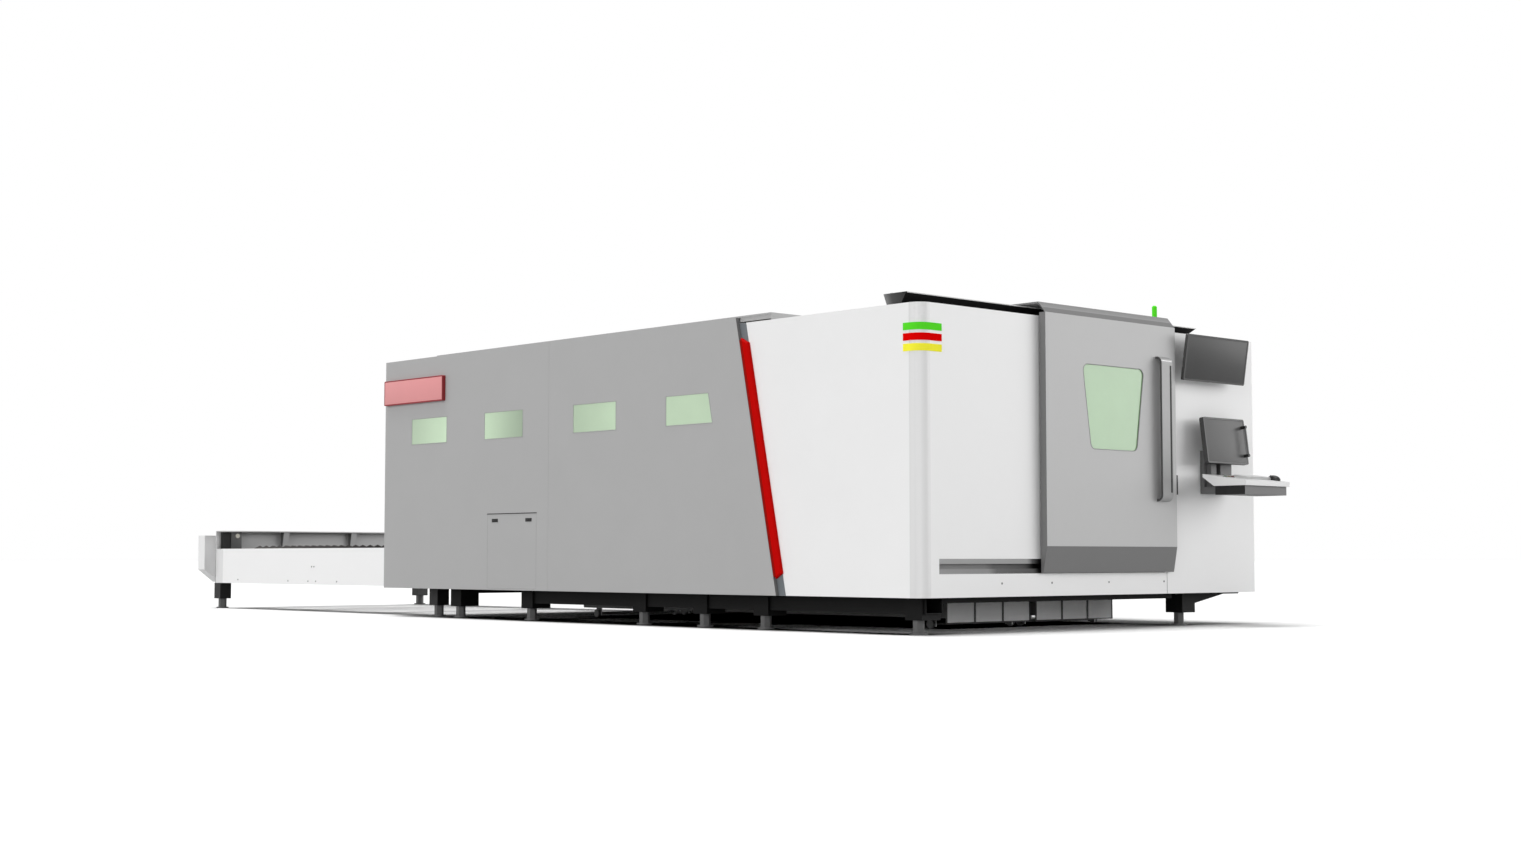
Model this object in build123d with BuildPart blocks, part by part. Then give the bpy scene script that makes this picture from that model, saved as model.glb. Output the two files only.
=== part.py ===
from build123d import *
import os

# An enclosed sheet laser cutter with a two-level exchange table.
# Lengths are millimetres. +X points out of the operator's front, +Y runs from the near
# side to the far side and +Z is up. The origin is on the floor under the middle.

# Overall sizes
BODY_LENGTH = 5860.0
BODY_WIDTH = 3490.0
BODY_BASE = 225.0
WHITE_TOP = 2005.0
GREY_TOP = 2042.0
GREY_PROUD = 30.0
TABLE_REACH = 9180.0
TRAY_REACH = 455.0
SIGN_PROUD = 60.0

# Sheet work shared by the panels
SHEET = 3.0
PANEL_DEPTH = 40.0
SEAM = 3.0
GLASS = 6.0
GLASS_GAP = 0.5
RUN_GAP = 0.5
OVERRUN = 20.0

# Slanted joint between the grey rear part and the white front part
SLANT_FOOT_BACK = 1232.0
SLANT_TOP_BACK = 1618.0
PANEL_SEAM_BACK = 3660.0
TRIM_WIDTH = 62.0
TRIM_THICK = 26.0
TRIM_BASE = 333.0
TRIM_TOP = 1905.0
TRIM_LEAD = 8.0
TRIM_CUT = 34.0

# Windows of the near side, measured back from the front
WINDOW_BASE = 1360.0
WINDOW_TOP = 1563.0
WINDOW_WIDTH = 492.0
WINDOW_FIRST_BACK = 5225.0
WINDOW_STEPS = (1000.0, 1105.0)
LAST_WINDOW_BACK = 2330.0
LAST_WINDOW_GAP = 375.0

# Service hatch and its latches
HATCH_BACK = 4420.0
HATCH_WIDTH = 616.0
HATCH_TOP = 792.0
HATCH_SILL = 12.0
HATCH_GAP = 0.8
HATCH_DEPTH = 16.0
LATCH_WIDTH = 76.0
LATCH_HEIGHT = 26.0
LATCH_LIP = 5.0
LATCH_PROUD = 2.5
LATCH_DEEP = 9.0
LATCH_INSET = 95.0
LATCH_DROP = 47.0

# Sign box
SIGN_BACK = 5836.0
SIGN_LENGTH = 833.0
SIGN_BASE = 1688.0
SIGN_TOP = 1885.0
SIGN_RIM = 8.0
SIGN_RECESS = 3.0

# Roof
LID_BACK = 5173.0
LID_FRONT_BACK = 1310.0
LID_INSET = 30.0
LID_RISE = 11.0
LID_LINE = 8.0
ROOF_LEAD = 2.0

# White front module and its doorway
CORNER_RADIUS = 90.0
FAR_CORNER_RADIUS = 30.0
FRONT_SEAM_Y = 2435.0
DOORWAY_NEAR = 1190.0
DOORWAY_FAR = 2395.0
DOORWAY_BASE = 500.0
DOORWAY_TOP = 1955.0
DOORWAY_RADIUS = 40.0
SLOT_NEAR = 162.0
SLOT_FAR = 2415.0
SLOT_BASE = 368.0
SLOT_TOP = 460.0
TRACK_DEPTH = 34.0
TRACK_LEDGE = 8.0

# Status light bars around the near corner
BAR_SIDE_REACH = 135.0
BAR_FRONT_REACH = 191.0
BAR_THICK = 4.0
BAR_HEIGHT = 44.0
BAR_BASE = 1710.0
BAR_PITCH = 64.0
BAR_COUNT = 3

# Cover over the door rail, on the roof
VISOR_FAR_TOP = 2960.0
VISOR_FAR_FOOT = 2900.0
VISOR_NEAR_FOOT = 30.0
VISOR_BACK = 300.0
VISOR_FOOT_BACK = 175.0
VISOR_TOP_BACK = 108.0
VISOR_TOP = 2073.0
VISOR_FOOT = 2013.0
VISOR_WALL = 4.0
RAIL_BACK = 262.0
RAIL_WIDTH = 24.0
RAIL_HEIGHT = 7.0

# Sliding door
DOOR_NEAR = 1102.0
DOOR_FAR = 2472.0
DOOR_PROUD = 60.0
DOOR_CLEAR = 10.0
DOOR_FOOT = 371.0
DOOR_FOOT_PROUD = 30.0
DOOR_CHAMFER_TOP = 540.0
DOOR_FACE_TOP = 2025.0
DOOR_TOP = 2095.0
DOOR_TOP_PROUD = 2.0
DOOR_PLATE_BACK = 310.0
DOOR_SHEET = 5.0
DOOR_WINDOW_BASE = 1170.0
DOOR_WINDOW_TOP = 1720.0
DOOR_WINDOW_CENTRE = 1797.0
DOOR_WINDOW_FOOT_WIDTH = 484.0
DOOR_WINDOW_HEAD_WIDTH = 651.0
DOOR_WINDOW_RADIUS = 45.0
DOOR_GLASS_LAP = 16.0
GUIDE_INSET = 110.0
GUIDE_LENGTH = 150.0
GUIDE_WIDTH = 64.0
SHOE_LENGTH = 90.0
SHOE_HEIGHT = 30.0
SHOE_REACH = 20.0
HANDLE_Y = 2308.0
HANDLE_WIDTH = 115.0
HANDLE_BASE = 842.0
HANDLE_TOP = 1815.0
HANDLE_PROUD = 52.0
HANDLE_BAR = 16.0
HANDLE_RADIUS = 44.0

# Beacon on the rail cover
BEACON_Y = 2595.0
BEACON_BACK = 196.0
BEACON_RADIUS = 17.0
BEACON_BASE_RADIUS = 24.0
BEACON_BASE_HEIGHT = 22.0
BEACON_TOP = 2210.0
BEACON_DOME = 8.0

# Machine bed
BEAM_NEAR_Y = 190.0
BEAM_FAR_Y = 2805.0
BEAM_WIDTH = 240.0
BEAM_TOP = 780.0
PLINTH_WIDTH = 150.0
PLINTH_BASE = 125.0
BEAM_FAR_BASE = 215.0
BEAM_WALL = 12.0
BED_BACK = 5290.0
BED_FRONT_BACK = 110.0
CROSS_BASE = 188.0
CROSS_TOP = 277.0
CROSS_WIDTH = 100.0
TUBE_WALL = 6.0
POST = 60.0
POST_FRONT_BACK = 160.0
POST_SLANT_BACK = 1760.0
POST_REAR_BACK = 5780.0

# Levelling feet, in rows along the bed
FOOT_BACKS = (196.0, 1561.0, 2169.0, 2819.0, 4149.0, 5088.0)
FOOT_FAR_SHIFT = 28.0
FOOT_RADIUS = 55.0
FOOT_RIM = 11.0
STEM_RADIUS = 37.0
STEM_SIDES = 6
FOOT_HEIGHT = 88.0
PAD = 140.0
PAD_LIP = 18.0

# Outriggers that carry the far cabinet strip
OUTRIGGER_WIDTH = 90.0
OUTRIGGER_BASE = 145.0
OUTRIGGER_TIP_INSET = 190.0
TIP_DEPTH = 14.0

# Equipment in the far strip
CABINET_DEPTH = 430.0
CABINET_HEIGHT = 1620.0
CABINET_GAP = 70.0
CONTROL_BACK = 3500.0
CONTROL_LENGTH = 1560.0
SOURCE_BACK = 5250.0
SOURCE_LENGTH = 1300.0
CABINET_PLINTH = 60.0
PLINTH_INSET = 25.0

# Rear wall and the lifting gate over the pallet opening
PORT_NEAR = 180.0
PORT_FAR = 2480.0
PORT_TOP = 1100.0
GATE_BASE = 640.0
GATE_HEIGHT = 520.0
GATE_LAP = 50.0
GATE_THICK = 20.0
GATE_RUNNER = 40.0
GATE_RIBS = 3

# Exchange table
PALLET_Y = 1330.0
TABLE_HALF = 1135.0
TABLE_PANEL_TOP = 548.0
TABLE_BASE = 233.0
TABLE_PANEL_DEPTH = 60.0
TABLE_PANEL_BACK = 8980.0
TABLE_BEAM_TOP = 430.0
TABLE_BEAM_BACK = 9050.0
TABLE_INNER_BACK = 5420.0
TABLE_CROSS_COUNT = 4
LEG_LENGTH = 115.0
LEG_WIDTH = 110.0
LEG_PLATE = 12.0
LEG_OUTER_BACK = 9020.0
LEG_INNER_BACK = 5425.0

# Guard at the outer end of the table
GUARD_WALL_TOP = 715.0
GUARD_WALL_HALF = 1170.0
GUARD_FLANGE = 70.0
GUARD_SHEET = 6.0
RIB_COUNT = 2
RIB_FIRST = 700.0
RIB_PITCH = 735.0
RIB_DEPTH = 60.0
RIB_WIDTH = 60.0
CORNER_TOP = 670.0
CORNER_NEAR = 50.0
CORNER_INNER = 290.0
CORNER_CHAMFER_TOP = 357.0
CORNER_FOOT = 242.0
CORNER_FOOT_NEAR = 200.0
STOP_REACH = 1121.0
STOP_WIDTH = 190.0
STOP_THICK = 40.0

# Pallets, their tracks, wheels and slats
LOWER_LEVEL = 285.0
LEVEL_STEP = 150.0
LEDGE = 8.0
LEDGE_WIDTH = 62.0
TRACK_WEB = 6.0
TRACK_HALF = 985.0
TRACK_FRONT_BACK = 1880.0
PALLET_LENGTH = 3050.0
PALLET_HALF = 918.0
PALLET_OUT_BACK = 8930.0
PALLET_IN_BACK = 5030.0
PALLET_BASE_RISE = 15.0
PALLET_HEIGHT = 100.0
PALLET_SHEET = 10.0
PALLET_FLANGE = 70.0
PALLET_BAR = 80.0
PALLET_BAR_COUNT = 3
WHEEL_RADIUS = 42.0
WHEEL_WIDTH = 34.0
WHEEL_GAP = 0.4
AXLE_RADIUS = 14.0
BORE_GAP = 0.05
AXLE_INSET_SLATS = 2
SLAT_THICK = 4.0
SLAT_PITCH = 120.0
SLAT_COUNT = 25
SLAT_TIP_RISE = 143.0
TOOTH_DEPTH = 34.0
TOOTH_COUNT = 12

# Gantry, head carriage and cutting head
LINEAR_RAIL = 45.0
LINEAR_RAIL_HEIGHT = 38.0
RAIL_ENDS = 60.0
GANTRY_BACK = 4450.0
GANTRY_BEAM_BASE = 900.0
GANTRY_BEAM_TOP = 1190.0
GANTRY_BEAM_WIDTH = 250.0
GANTRY_WALL = 10.0
SADDLE_LENGTH = 420.0
SADDLE_WIDTH = 200.0
SADDLE_LIP = 14.0
DRIVE_RADIUS = 65.0
DRIVE_HEIGHT = 190.0
DRIVE_FLANGE = 20.0
DRIVE_FLANGE_RADIUS = 80.0
Y_RAIL = 28.0
Y_RAIL_DEPTH = 22.0
Y_RAIL_INSET = 50.0
HEAD_Y = 560.0
CARRIAGE_WIDTH = 300.0
CARRIAGE_THICK = 36.0
CARRIAGE_RISE = 60.0
CARRIAGE_BLOCK = 70.0
Z_RAIL = 30.0
Z_RAIL_DEPTH = 18.0
Z_RAIL_SPREAD = 180.0
SLIDE_WIDTH = 240.0
SLIDE_THICK = 26.0
SLIDE_HEIGHT = 300.0
SLIDE_BASE = 880.0
HEAD_RADIUS = 52.0
HEAD_NECK_RADIUS = 34.0
HEAD_TOP = 1330.0
HEAD_STEP = 905.0
HEAD_TAPER = 800.0
HEAD_FOOT = 690.0
HEAD_CLAMP = 46.0
NOZZLE_RADIUS = 22.0
NOZZLE_TIP_RADIUS = 4.0
NOZZLE_BASE = 645.0

# Scrap carts under the bed
CART_WIDTH = 845.0
CART_GAP = 60.0
CART_FAR = 2760.0
CART_FRONT_BACK = 720.0
CART_LENGTH = 3860.0
CART_BASE = 42.0
CART_TOP = 180.0
CART_SHEET = 4.0
CART_BAYS = 3
CART_RIB = 8.0
CART_WHEEL_RADIUS = 30.0
CART_WHEEL_WIDTH = 24.0
CART_AXLE_RADIUS = 9.0
CART_FLOOR_GAP = 0.5
CART_AXLE_INSET = 150.0
CART_WHEEL_INSET = 34.0
CART_EAR = 10.0

# Upper monitor and its wall bracket
MONITOR_Y = 2865.0
MONITOR_WIDTH = 714.0
MONITOR_BASE = 1670.0
MONITOR_TOP = 1983.0
MONITOR_FOOT_PROUD = 100.0
MONITOR_LEAN = 47.0
MONITOR_THICK = 22.0
MONITOR_BEZEL = 14.0
MONITOR_GLASS_DROP = 3.0
PIN_RADIUS = 12.0
PIN_OFFSET = 22.0
EAR_WIDTH = 14.0
EAR_RADIUS = 24.0
EAR_SPREAD = 120.0
WALL_PLATE = 10.0
WALL_PLATE_SIZE = 170.0
ARM_THICK = 30.0

# Operator console: bracket, tray, keyboard, buttons and screen
CONSOLE_NEAR = 2700.0
CONSOLE_WIDTH = 530.0
TRAY_BACK_PROUD = 106.0
TRAY_BACK_TOP = 1037.0
TRAY_BACK_FOOT = 1018.0
TRAY_FRONT_TOP = 985.0
TRAY_FOOT = 953.0
TRAY_FOOT_PROUD = 200.0
TRAY_EDGE = 8.0
CONSOLE_BOX_BASE = 893.0
CONSOLE_BOX_INSET = 18.0
BRACKET_BASE = 905.0
BRACKET_TOP = 1204.0
BRACKET_NEAR = 2829.0
BRACKET_WIDTH = 280.0
BRACKET_PLATE = 34.0
NECK_WIDTHS = (60.0, 130.0)
NECK_INSETS = (31.0, 141.0)
NECK_THICK = 36.0
SCREEN_NEAR = 2712.0
SCREEN_WIDTH = 480.0
SCREEN_BASE = 1114.0
SCREEN_TOP = 1430.0
SCREEN_FOOT_PROUD = 152.0
SCREEN_LEAN = 40.0
SCREEN_THICK = 34.0
GRIP_LENGTH = 200.0
GRIP_INSET = 22.0
GRIP_RADIUS = 7.0
GRIP_PROUD = 40.0
GRIP_FOOT_RADIUS = 11.0
KEYBOARD_WIDTH = 300.0
KEYBOARD_DEPTH = 120.0
KEYBOARD_THICK = 14.0
KEYBOARD_INSET = 170.0
KEYBOARD_FRONT_SHARE = 0.30
BUTTON_RADIUS = 11.0
BUTTON_PROUD = 9.0
BUTTON_SOCKET = 16.0
BUTTON_GAP = 0.3
BUTTON_PITCH = 42.0
BUTTON_FIRST = 45.0
BUTTON_ALONG_SHARE = 0.55

# Places worked out from the sizes above
FRONT_X = (TABLE_REACH - TRAY_REACH) / 2
NEAR_Y = -(BODY_WIDTH + GREY_PROUD - SIGN_PROUD) / 2
REAR_X = FRONT_X - BODY_LENGTH
FAR_Y = NEAR_Y + BODY_WIDTH
GREY_NEAR_Y = NEAR_Y - GREY_PROUD
GREY_FAR_Y = FAR_Y + GREY_PROUD
PALLET_MID = NEAR_Y + PALLET_Y
SLANT_SLOPE = (SLANT_TOP_BACK - SLANT_FOOT_BACK) / (GREY_TOP - BODY_BASE)


def back(distance):
    """The X value at a distance behind the white front."""
    return FRONT_X - distance


def across(distance):
    """The Y value at a distance from the near white side."""
    return NEAR_Y + distance


def slant(z, ahead=0.0):
    """The X value of the slanted joint at a height, moved ahead of it."""
    return back(SLANT_FOOT_BACK) - (z - BODY_BASE) * SLANT_SLOPE + ahead


def slab(x, y, z, mode=Mode.ADD):
    """A box between two X, two Y and two Z values."""
    with Locations(((x[0] + x[1]) / 2, (y[0] + y[1]) / 2, (z[0] + z[1]) / 2)):
        Box(x[1] - x[0], y[1] - y[0], z[1] - z[0], mode=mode)


def prism(plane, points, depth, mode=Mode.ADD):
    """An outline of straight sides on a plane, drawn out along the plane's normal."""
    with BuildSketch(plane) as profile:
        with BuildLine():
            Polyline(*points, close=True)
        make_face()
    extrude(profile.sketch, amount=depth, mode=mode)


def rod(start, direction, radius, length, mode=Mode.ADD):
    """A round bar from a point along a direction."""
    with BuildSketch(Plane(origin=start, z_dir=direction)) as profile:
        Circle(radius)
    extrude(profile.sketch, amount=length, mode=mode)


def side_plane(y):
    """A plane facing -Y, with X to the right and Z up."""
    return Plane(origin=(0, y, 0), x_dir=(1, 0, 0), z_dir=(0, -1, 0))


def front_plane(x):
    """A plane facing +X, with Y to the right and Z up."""
    return Plane(origin=(x, 0, 0), x_dir=(0, 1, 0), z_dir=(1, 0, 0))


def bar(x, y, z):
    """One solid bar between two X, two Y and two Z values, as a piece of its own."""
    with BuildPart() as piece:
        slab(x, y, z)
    return piece.part


def tube(x, y, z, wall, open_axis):
    """One box tube, open at both ends along an axis, as a piece of its own."""
    with BuildPart() as piece:
        slab(x, y, z)
        ends = piece.faces().filter_by(open_axis)
        offset(amount=-wall, openings=ends, kind=Kind.INTERSECTION)
    return piece.part


def cassette(plane, outline, depth, open_end):
    """A folded sheet panel: an outline drawn out to a depth, open at one end along Y."""
    with BuildPart() as panel:
        prism(plane, outline, depth)
        offset(amount=-SHEET, openings=panel.faces().sort_by(Axis.Y)[open_end], kind=Kind.INTERSECTION)
    return panel.part


def between(start, reach):
    """A rising pair from a start and a signed reach."""
    return (min(start, start + reach), max(start, start + reach))


def save(name, *pieces):
    """Label one node and write it. Members that touch stay solids of their own."""
    solids = [solid for piece in pieces for solid in piece.solids()]
    node = Compound(solids)
    node.label = name
    export_step(node, os.path.join("parts", name + ".step"))


os.makedirs("parts", exist_ok=True)

# Near side: cassette panels of folded sheet, open towards the inside
window_centres = [WINDOW_FIRST_BACK]
for window_step in WINDOW_STEPS:
    window_centres.append(window_centres[-1] - window_step)
WINDOW_OUTLINES = [
    [
        (back(centre + WINDOW_WIDTH / 2), WINDOW_BASE),
        (back(centre - WINDOW_WIDTH / 2), WINDOW_BASE),
        (back(centre - WINDOW_WIDTH / 2), WINDOW_TOP),
        (back(centre + WINDOW_WIDTH / 2), WINDOW_TOP),
    ]
    for centre in window_centres
]
WINDOW_OUTLINES.append(
    [
        (back(LAST_WINDOW_BACK), WINDOW_BASE),
        (slant(WINDOW_BASE, -LAST_WINDOW_GAP), WINDOW_BASE),
        (slant(WINDOW_TOP, -LAST_WINDOW_GAP), WINDOW_TOP),
        (back(LAST_WINDOW_BACK), WINDOW_TOP),
    ]
)
HATCH_X = (back(HATCH_BACK), back(HATCH_BACK - HATCH_WIDTH))
HATCH_Z = (BODY_BASE + HATCH_SILL, HATCH_TOP)
SEAM_X = back(PANEL_SEAM_BACK)
REAR_OUTLINE = [
    (REAR_X, BODY_BASE),
    (SEAM_X - SEAM / 2, BODY_BASE),
    (SEAM_X - SEAM / 2, GREY_TOP),
    (REAR_X, GREY_TOP),
]
MIDDLE_OUTLINE = [
    (SEAM_X + SEAM / 2, BODY_BASE),
    (slant(BODY_BASE), BODY_BASE),
    (slant(GREY_TOP), GREY_TOP),
    (SEAM_X + SEAM / 2, GREY_TOP),
]
near_inside = side_plane(GREY_NEAR_Y + PANEL_DEPTH)

near_rear = cassette(near_inside, REAR_OUTLINE, PANEL_DEPTH, -1)
with BuildPart() as near_panel_rear:
    add(near_rear)
    for outline in WINDOW_OUTLINES[:2]:
        prism(near_inside, outline, PANEL_DEPTH, Mode.SUBTRACT)
    slab(HATCH_X, (GREY_NEAR_Y - OVERRUN, GREY_NEAR_Y + SHEET), HATCH_Z, Mode.SUBTRACT)
save("near_panel_rear", near_panel_rear.part)

near_middle = cassette(near_inside, MIDDLE_OUTLINE, PANEL_DEPTH, -1)
with BuildPart() as near_panel_middle:
    add(near_middle)
    for outline in WINDOW_OUTLINES[2:]:
        prism(near_inside, outline, PANEL_DEPTH, Mode.SUBTRACT)
save("near_panel_middle", near_panel_middle.part)

with BuildPart() as near_windows:
    for outline in WINDOW_OUTLINES:
        with BuildSketch(side_plane(GREY_NEAR_Y + GLASS_GAP)) as pane:
            with BuildLine():
                Polyline(*outline, close=True)
            make_face()
            offset(amount=-GLASS_GAP, kind=Kind.INTERSECTION, mode=Mode.REPLACE)
        extrude(pane.sketch, amount=-GLASS)
save("near_windows", near_windows.part)

# Service hatch, hinged along its lower outer edge
LATCH_Z = HATCH_TOP - LATCH_DROP
LATCH_XS = (HATCH_X[0] + LATCH_INSET, HATCH_X[1] - LATCH_INSET)
hatch_low = HATCH_Z[0] + HATCH_GAP
hatch_high = HATCH_Z[1] - HATCH_GAP
with BuildPart() as hatch:
    slab(
        (HATCH_X[0] + HATCH_GAP, HATCH_X[1] - HATCH_GAP),
        (GREY_NEAR_Y, GREY_NEAR_Y + HATCH_DEPTH),
        (hatch_low, hatch_high),
    )
    offset(amount=-SHEET, openings=hatch.faces().sort_by(Axis.Y)[-1], kind=Kind.INTERSECTION)
    for latch_x in LATCH_XS:
        slab(
            (latch_x - LATCH_WIDTH / 2 + LATCH_LIP, latch_x + LATCH_WIDTH / 2 - LATCH_LIP),
            (GREY_NEAR_Y - OVERRUN, GREY_NEAR_Y + SHEET),
            (LATCH_Z - LATCH_HEIGHT / 2 + LATCH_LIP, LATCH_Z + LATCH_HEIGHT / 2 - LATCH_LIP),
            Mode.SUBTRACT,
        )
save("hatch", hatch.part)

with BuildPart() as hatch_latches:
    for latch_x in LATCH_XS:
        slab(
            (latch_x - LATCH_WIDTH / 2, latch_x + LATCH_WIDTH / 2),
            (GREY_NEAR_Y - LATCH_PROUD, GREY_NEAR_Y),
            (LATCH_Z - LATCH_HEIGHT / 2, LATCH_Z + LATCH_HEIGHT / 2),
        )
        slab(
            (latch_x - LATCH_WIDTH / 2 + LATCH_LIP, latch_x + LATCH_WIDTH / 2 - LATCH_LIP),
            (GREY_NEAR_Y, GREY_NEAR_Y + LATCH_DEEP),
            (LATCH_Z - LATCH_HEIGHT / 2 + LATCH_LIP, LATCH_Z + LATCH_HEIGHT / 2 - LATCH_LIP),
        )
save("hatch_latches", hatch_latches.part)

with BuildPart() as sign_box:
    sign_x = (back(SIGN_BACK), back(SIGN_BACK - SIGN_LENGTH))
    slab(sign_x, (NEAR_Y - SIGN_PROUD, GREY_NEAR_Y), (SIGN_BASE, SIGN_TOP))
    fillet(sign_box.edges().filter_by(Axis.Y), radius=SIGN_RIM)
    slab(
        (sign_x[0] + SIGN_RIM, sign_x[1] - SIGN_RIM),
        (NEAR_Y - SIGN_PROUD, NEAR_Y - SIGN_PROUD + SIGN_RECESS),
        (SIGN_BASE + SIGN_RIM, SIGN_TOP - SIGN_RIM),
        Mode.SUBTRACT,
    )
save("sign_box", sign_box.part)

# Red strip along the slanted joint, cut off square to the joint at its ends
with BuildPart() as slant_trim:
    prism(
        side_plane(NEAR_Y),
        [
            (slant(TRIM_BASE, TRIM_LEAD), TRIM_BASE),
            (slant(TRIM_BASE + TRIM_CUT, TRIM_LEAD + TRIM_WIDTH), TRIM_BASE + TRIM_CUT),
            (slant(TRIM_TOP - TRIM_CUT, TRIM_LEAD + TRIM_WIDTH), TRIM_TOP - TRIM_CUT),
            (slant(TRIM_TOP, TRIM_LEAD), TRIM_TOP),
        ],
        TRIM_THICK,
    )
    chamfer(slant_trim.faces().sort_by(Axis.Y)[0].edges(), length=TRIM_LEAD)
save("slant_trim", slant_trim.part)

# White front module: one folded sheet round the near corner, with the doorway and rail slot
SHELL_BACK_X = slant(GREY_TOP)
with BuildPart() as front_shell:
    slab((SHELL_BACK_X, FRONT_X), (NEAR_Y, across(FRONT_SEAM_Y - SEAM / 2)), (BODY_BASE, WHITE_TOP))
    near_edge = front_shell.edges().filter_by(Axis.Z).sort_by(Axis.Y)[:2].sort_by(Axis.X)[-1]
    fillet(near_edge, radius=CORNER_RADIUS)
    ends = front_shell.faces()
    offset(
        amount=-SHEET,
        openings=[
            ends.sort_by(Axis.Z)[0],
            ends.sort_by(Axis.Z)[-1],
            ends.sort_by(Axis.X)[0],
            ends.sort_by(Axis.Y)[-1],
        ],
        kind=Kind.INTERSECTION,
    )
    prism(
        side_plane(NEAR_Y + OVERRUN),
        [
            (SHELL_BACK_X - OVERRUN, BODY_BASE - OVERRUN),
            (slant(BODY_BASE - OVERRUN), BODY_BASE - OVERRUN),
            (slant(WHITE_TOP + OVERRUN), WHITE_TOP + OVERRUN),
            (SHELL_BACK_X - OVERRUN, WHITE_TOP + OVERRUN),
        ],
        OVERRUN + OVERRUN,
        Mode.SUBTRACT,
    )
    with BuildSketch(front_plane(FRONT_X - OVERRUN)) as doorway:
        with Locations((across((DOORWAY_NEAR + DOORWAY_FAR) / 2), (DOORWAY_BASE + DOORWAY_TOP) / 2)):
            RectangleRounded(DOORWAY_FAR - DOORWAY_NEAR, DOORWAY_TOP - DOORWAY_BASE, DOORWAY_RADIUS)
    extrude(doorway.sketch, amount=OVERRUN + OVERRUN, mode=Mode.SUBTRACT)
    slab(
        (FRONT_X - OVERRUN, FRONT_X + OVERRUN),
        (across(SLOT_NEAR), across(SLOT_FAR)),
        (SLOT_BASE, SLOT_TOP),
        Mode.SUBTRACT,
    )
save("front_shell", front_shell.part)

with BuildPart() as front_right_panel:
    slab((SHELL_BACK_X, FRONT_X), (across(FRONT_SEAM_Y + SEAM / 2), FAR_Y), (BODY_BASE, WHITE_TOP))
    far_edge = front_right_panel.edges().filter_by(Axis.Z).sort_by(Axis.Y)[-2:].sort_by(Axis.X)[-1]
    fillet(far_edge, radius=FAR_CORNER_RADIUS)
    ends = front_right_panel.faces()
    offset(
        amount=-SHEET,
        openings=[
            ends.sort_by(Axis.Z)[0],
            ends.sort_by(Axis.Z)[-1],
            ends.sort_by(Axis.X)[0],
            ends.sort_by(Axis.Y)[0],
        ],
        kind=Kind.INTERSECTION,
    )
    prism(
        side_plane(FAR_Y + OVERRUN),
        [
            (SHELL_BACK_X - OVERRUN, BODY_BASE - OVERRUN),
            (slant(BODY_BASE - OVERRUN), BODY_BASE - OVERRUN),
            (slant(WHITE_TOP + OVERRUN), WHITE_TOP + OVERRUN),
            (SHELL_BACK_X - OVERRUN, WHITE_TOP + OVERRUN),
        ],
        OVERRUN + OVERRUN,
        Mode.SUBTRACT,
    )
save("front_right_panel", front_right_panel.part)

# Far side: the same two cassettes, open the other way
far_rear = cassette(side_plane(GREY_FAR_Y), REAR_OUTLINE, PANEL_DEPTH, 0)
far_middle = cassette(side_plane(GREY_FAR_Y), MIDDLE_OUTLINE, PANEL_DEPTH, 0)
save("far_panels", far_rear, far_middle)

# Rear wall with the pallet opening, which reaches down to its lower edge, and the gate's runners
with BuildPart() as rear_sheet:
    slab(
        (REAR_X, REAR_X + SHEET),
        (GREY_NEAR_Y + PANEL_DEPTH, GREY_FAR_Y - PANEL_DEPTH),
        (BODY_BASE, GREY_TOP),
    )
    slab(
        (REAR_X - OVERRUN, REAR_X + OVERRUN),
        (across(PORT_NEAR), across(PORT_FAR)),
        (BODY_BASE - OVERRUN, PORT_TOP),
        Mode.SUBTRACT,
    )
GATE_X = REAR_X + SHEET + GATE_RUNNER / 2
GATE_Y = (across(PORT_NEAR) - GATE_LAP, across(PORT_FAR) + GATE_LAP)
with BuildPart() as gate_runners:
    for runner_y, inward in ((GATE_Y[0], 1), (GATE_Y[1], -1)):
        slab(
            (GATE_X - GATE_RUNNER / 2, GATE_X + GATE_RUNNER / 2),
            (runner_y - GATE_RUNNER / 2, runner_y + GATE_RUNNER / 2),
            (BODY_BASE, GREY_TOP - SHEET),
        )
        slab(
            (GATE_X - GATE_THICK / 2 - RUN_GAP, GATE_X + GATE_THICK / 2 + RUN_GAP),
            between(runner_y - inward * RUN_GAP, inward * GATE_RUNNER),
            (GATE_BASE - RUN_GAP, GREY_TOP - SHEET),
            Mode.SUBTRACT,
        )
save("rear_wall", rear_sheet.part, gate_runners.part)

with BuildPart() as rear_gate:
    slab((GATE_X - GATE_THICK / 2, GATE_X + GATE_THICK / 2), GATE_Y, (GATE_BASE, GATE_BASE + GATE_HEIGHT))
    rib_step = GATE_HEIGHT / (GATE_RIBS + 1)
    for level in range(1, GATE_RIBS + 1):
        rib_z = GATE_BASE + level * rib_step
        slab(
            (GATE_X, GATE_X + GATE_RUNNER),
            (GATE_Y[0] + GATE_RUNNER, GATE_Y[1] - GATE_RUNNER),
            (rib_z - GATE_THICK / 2, rib_z + GATE_THICK / 2),
        )
save("rear_gate", rear_gate.part)

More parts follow.
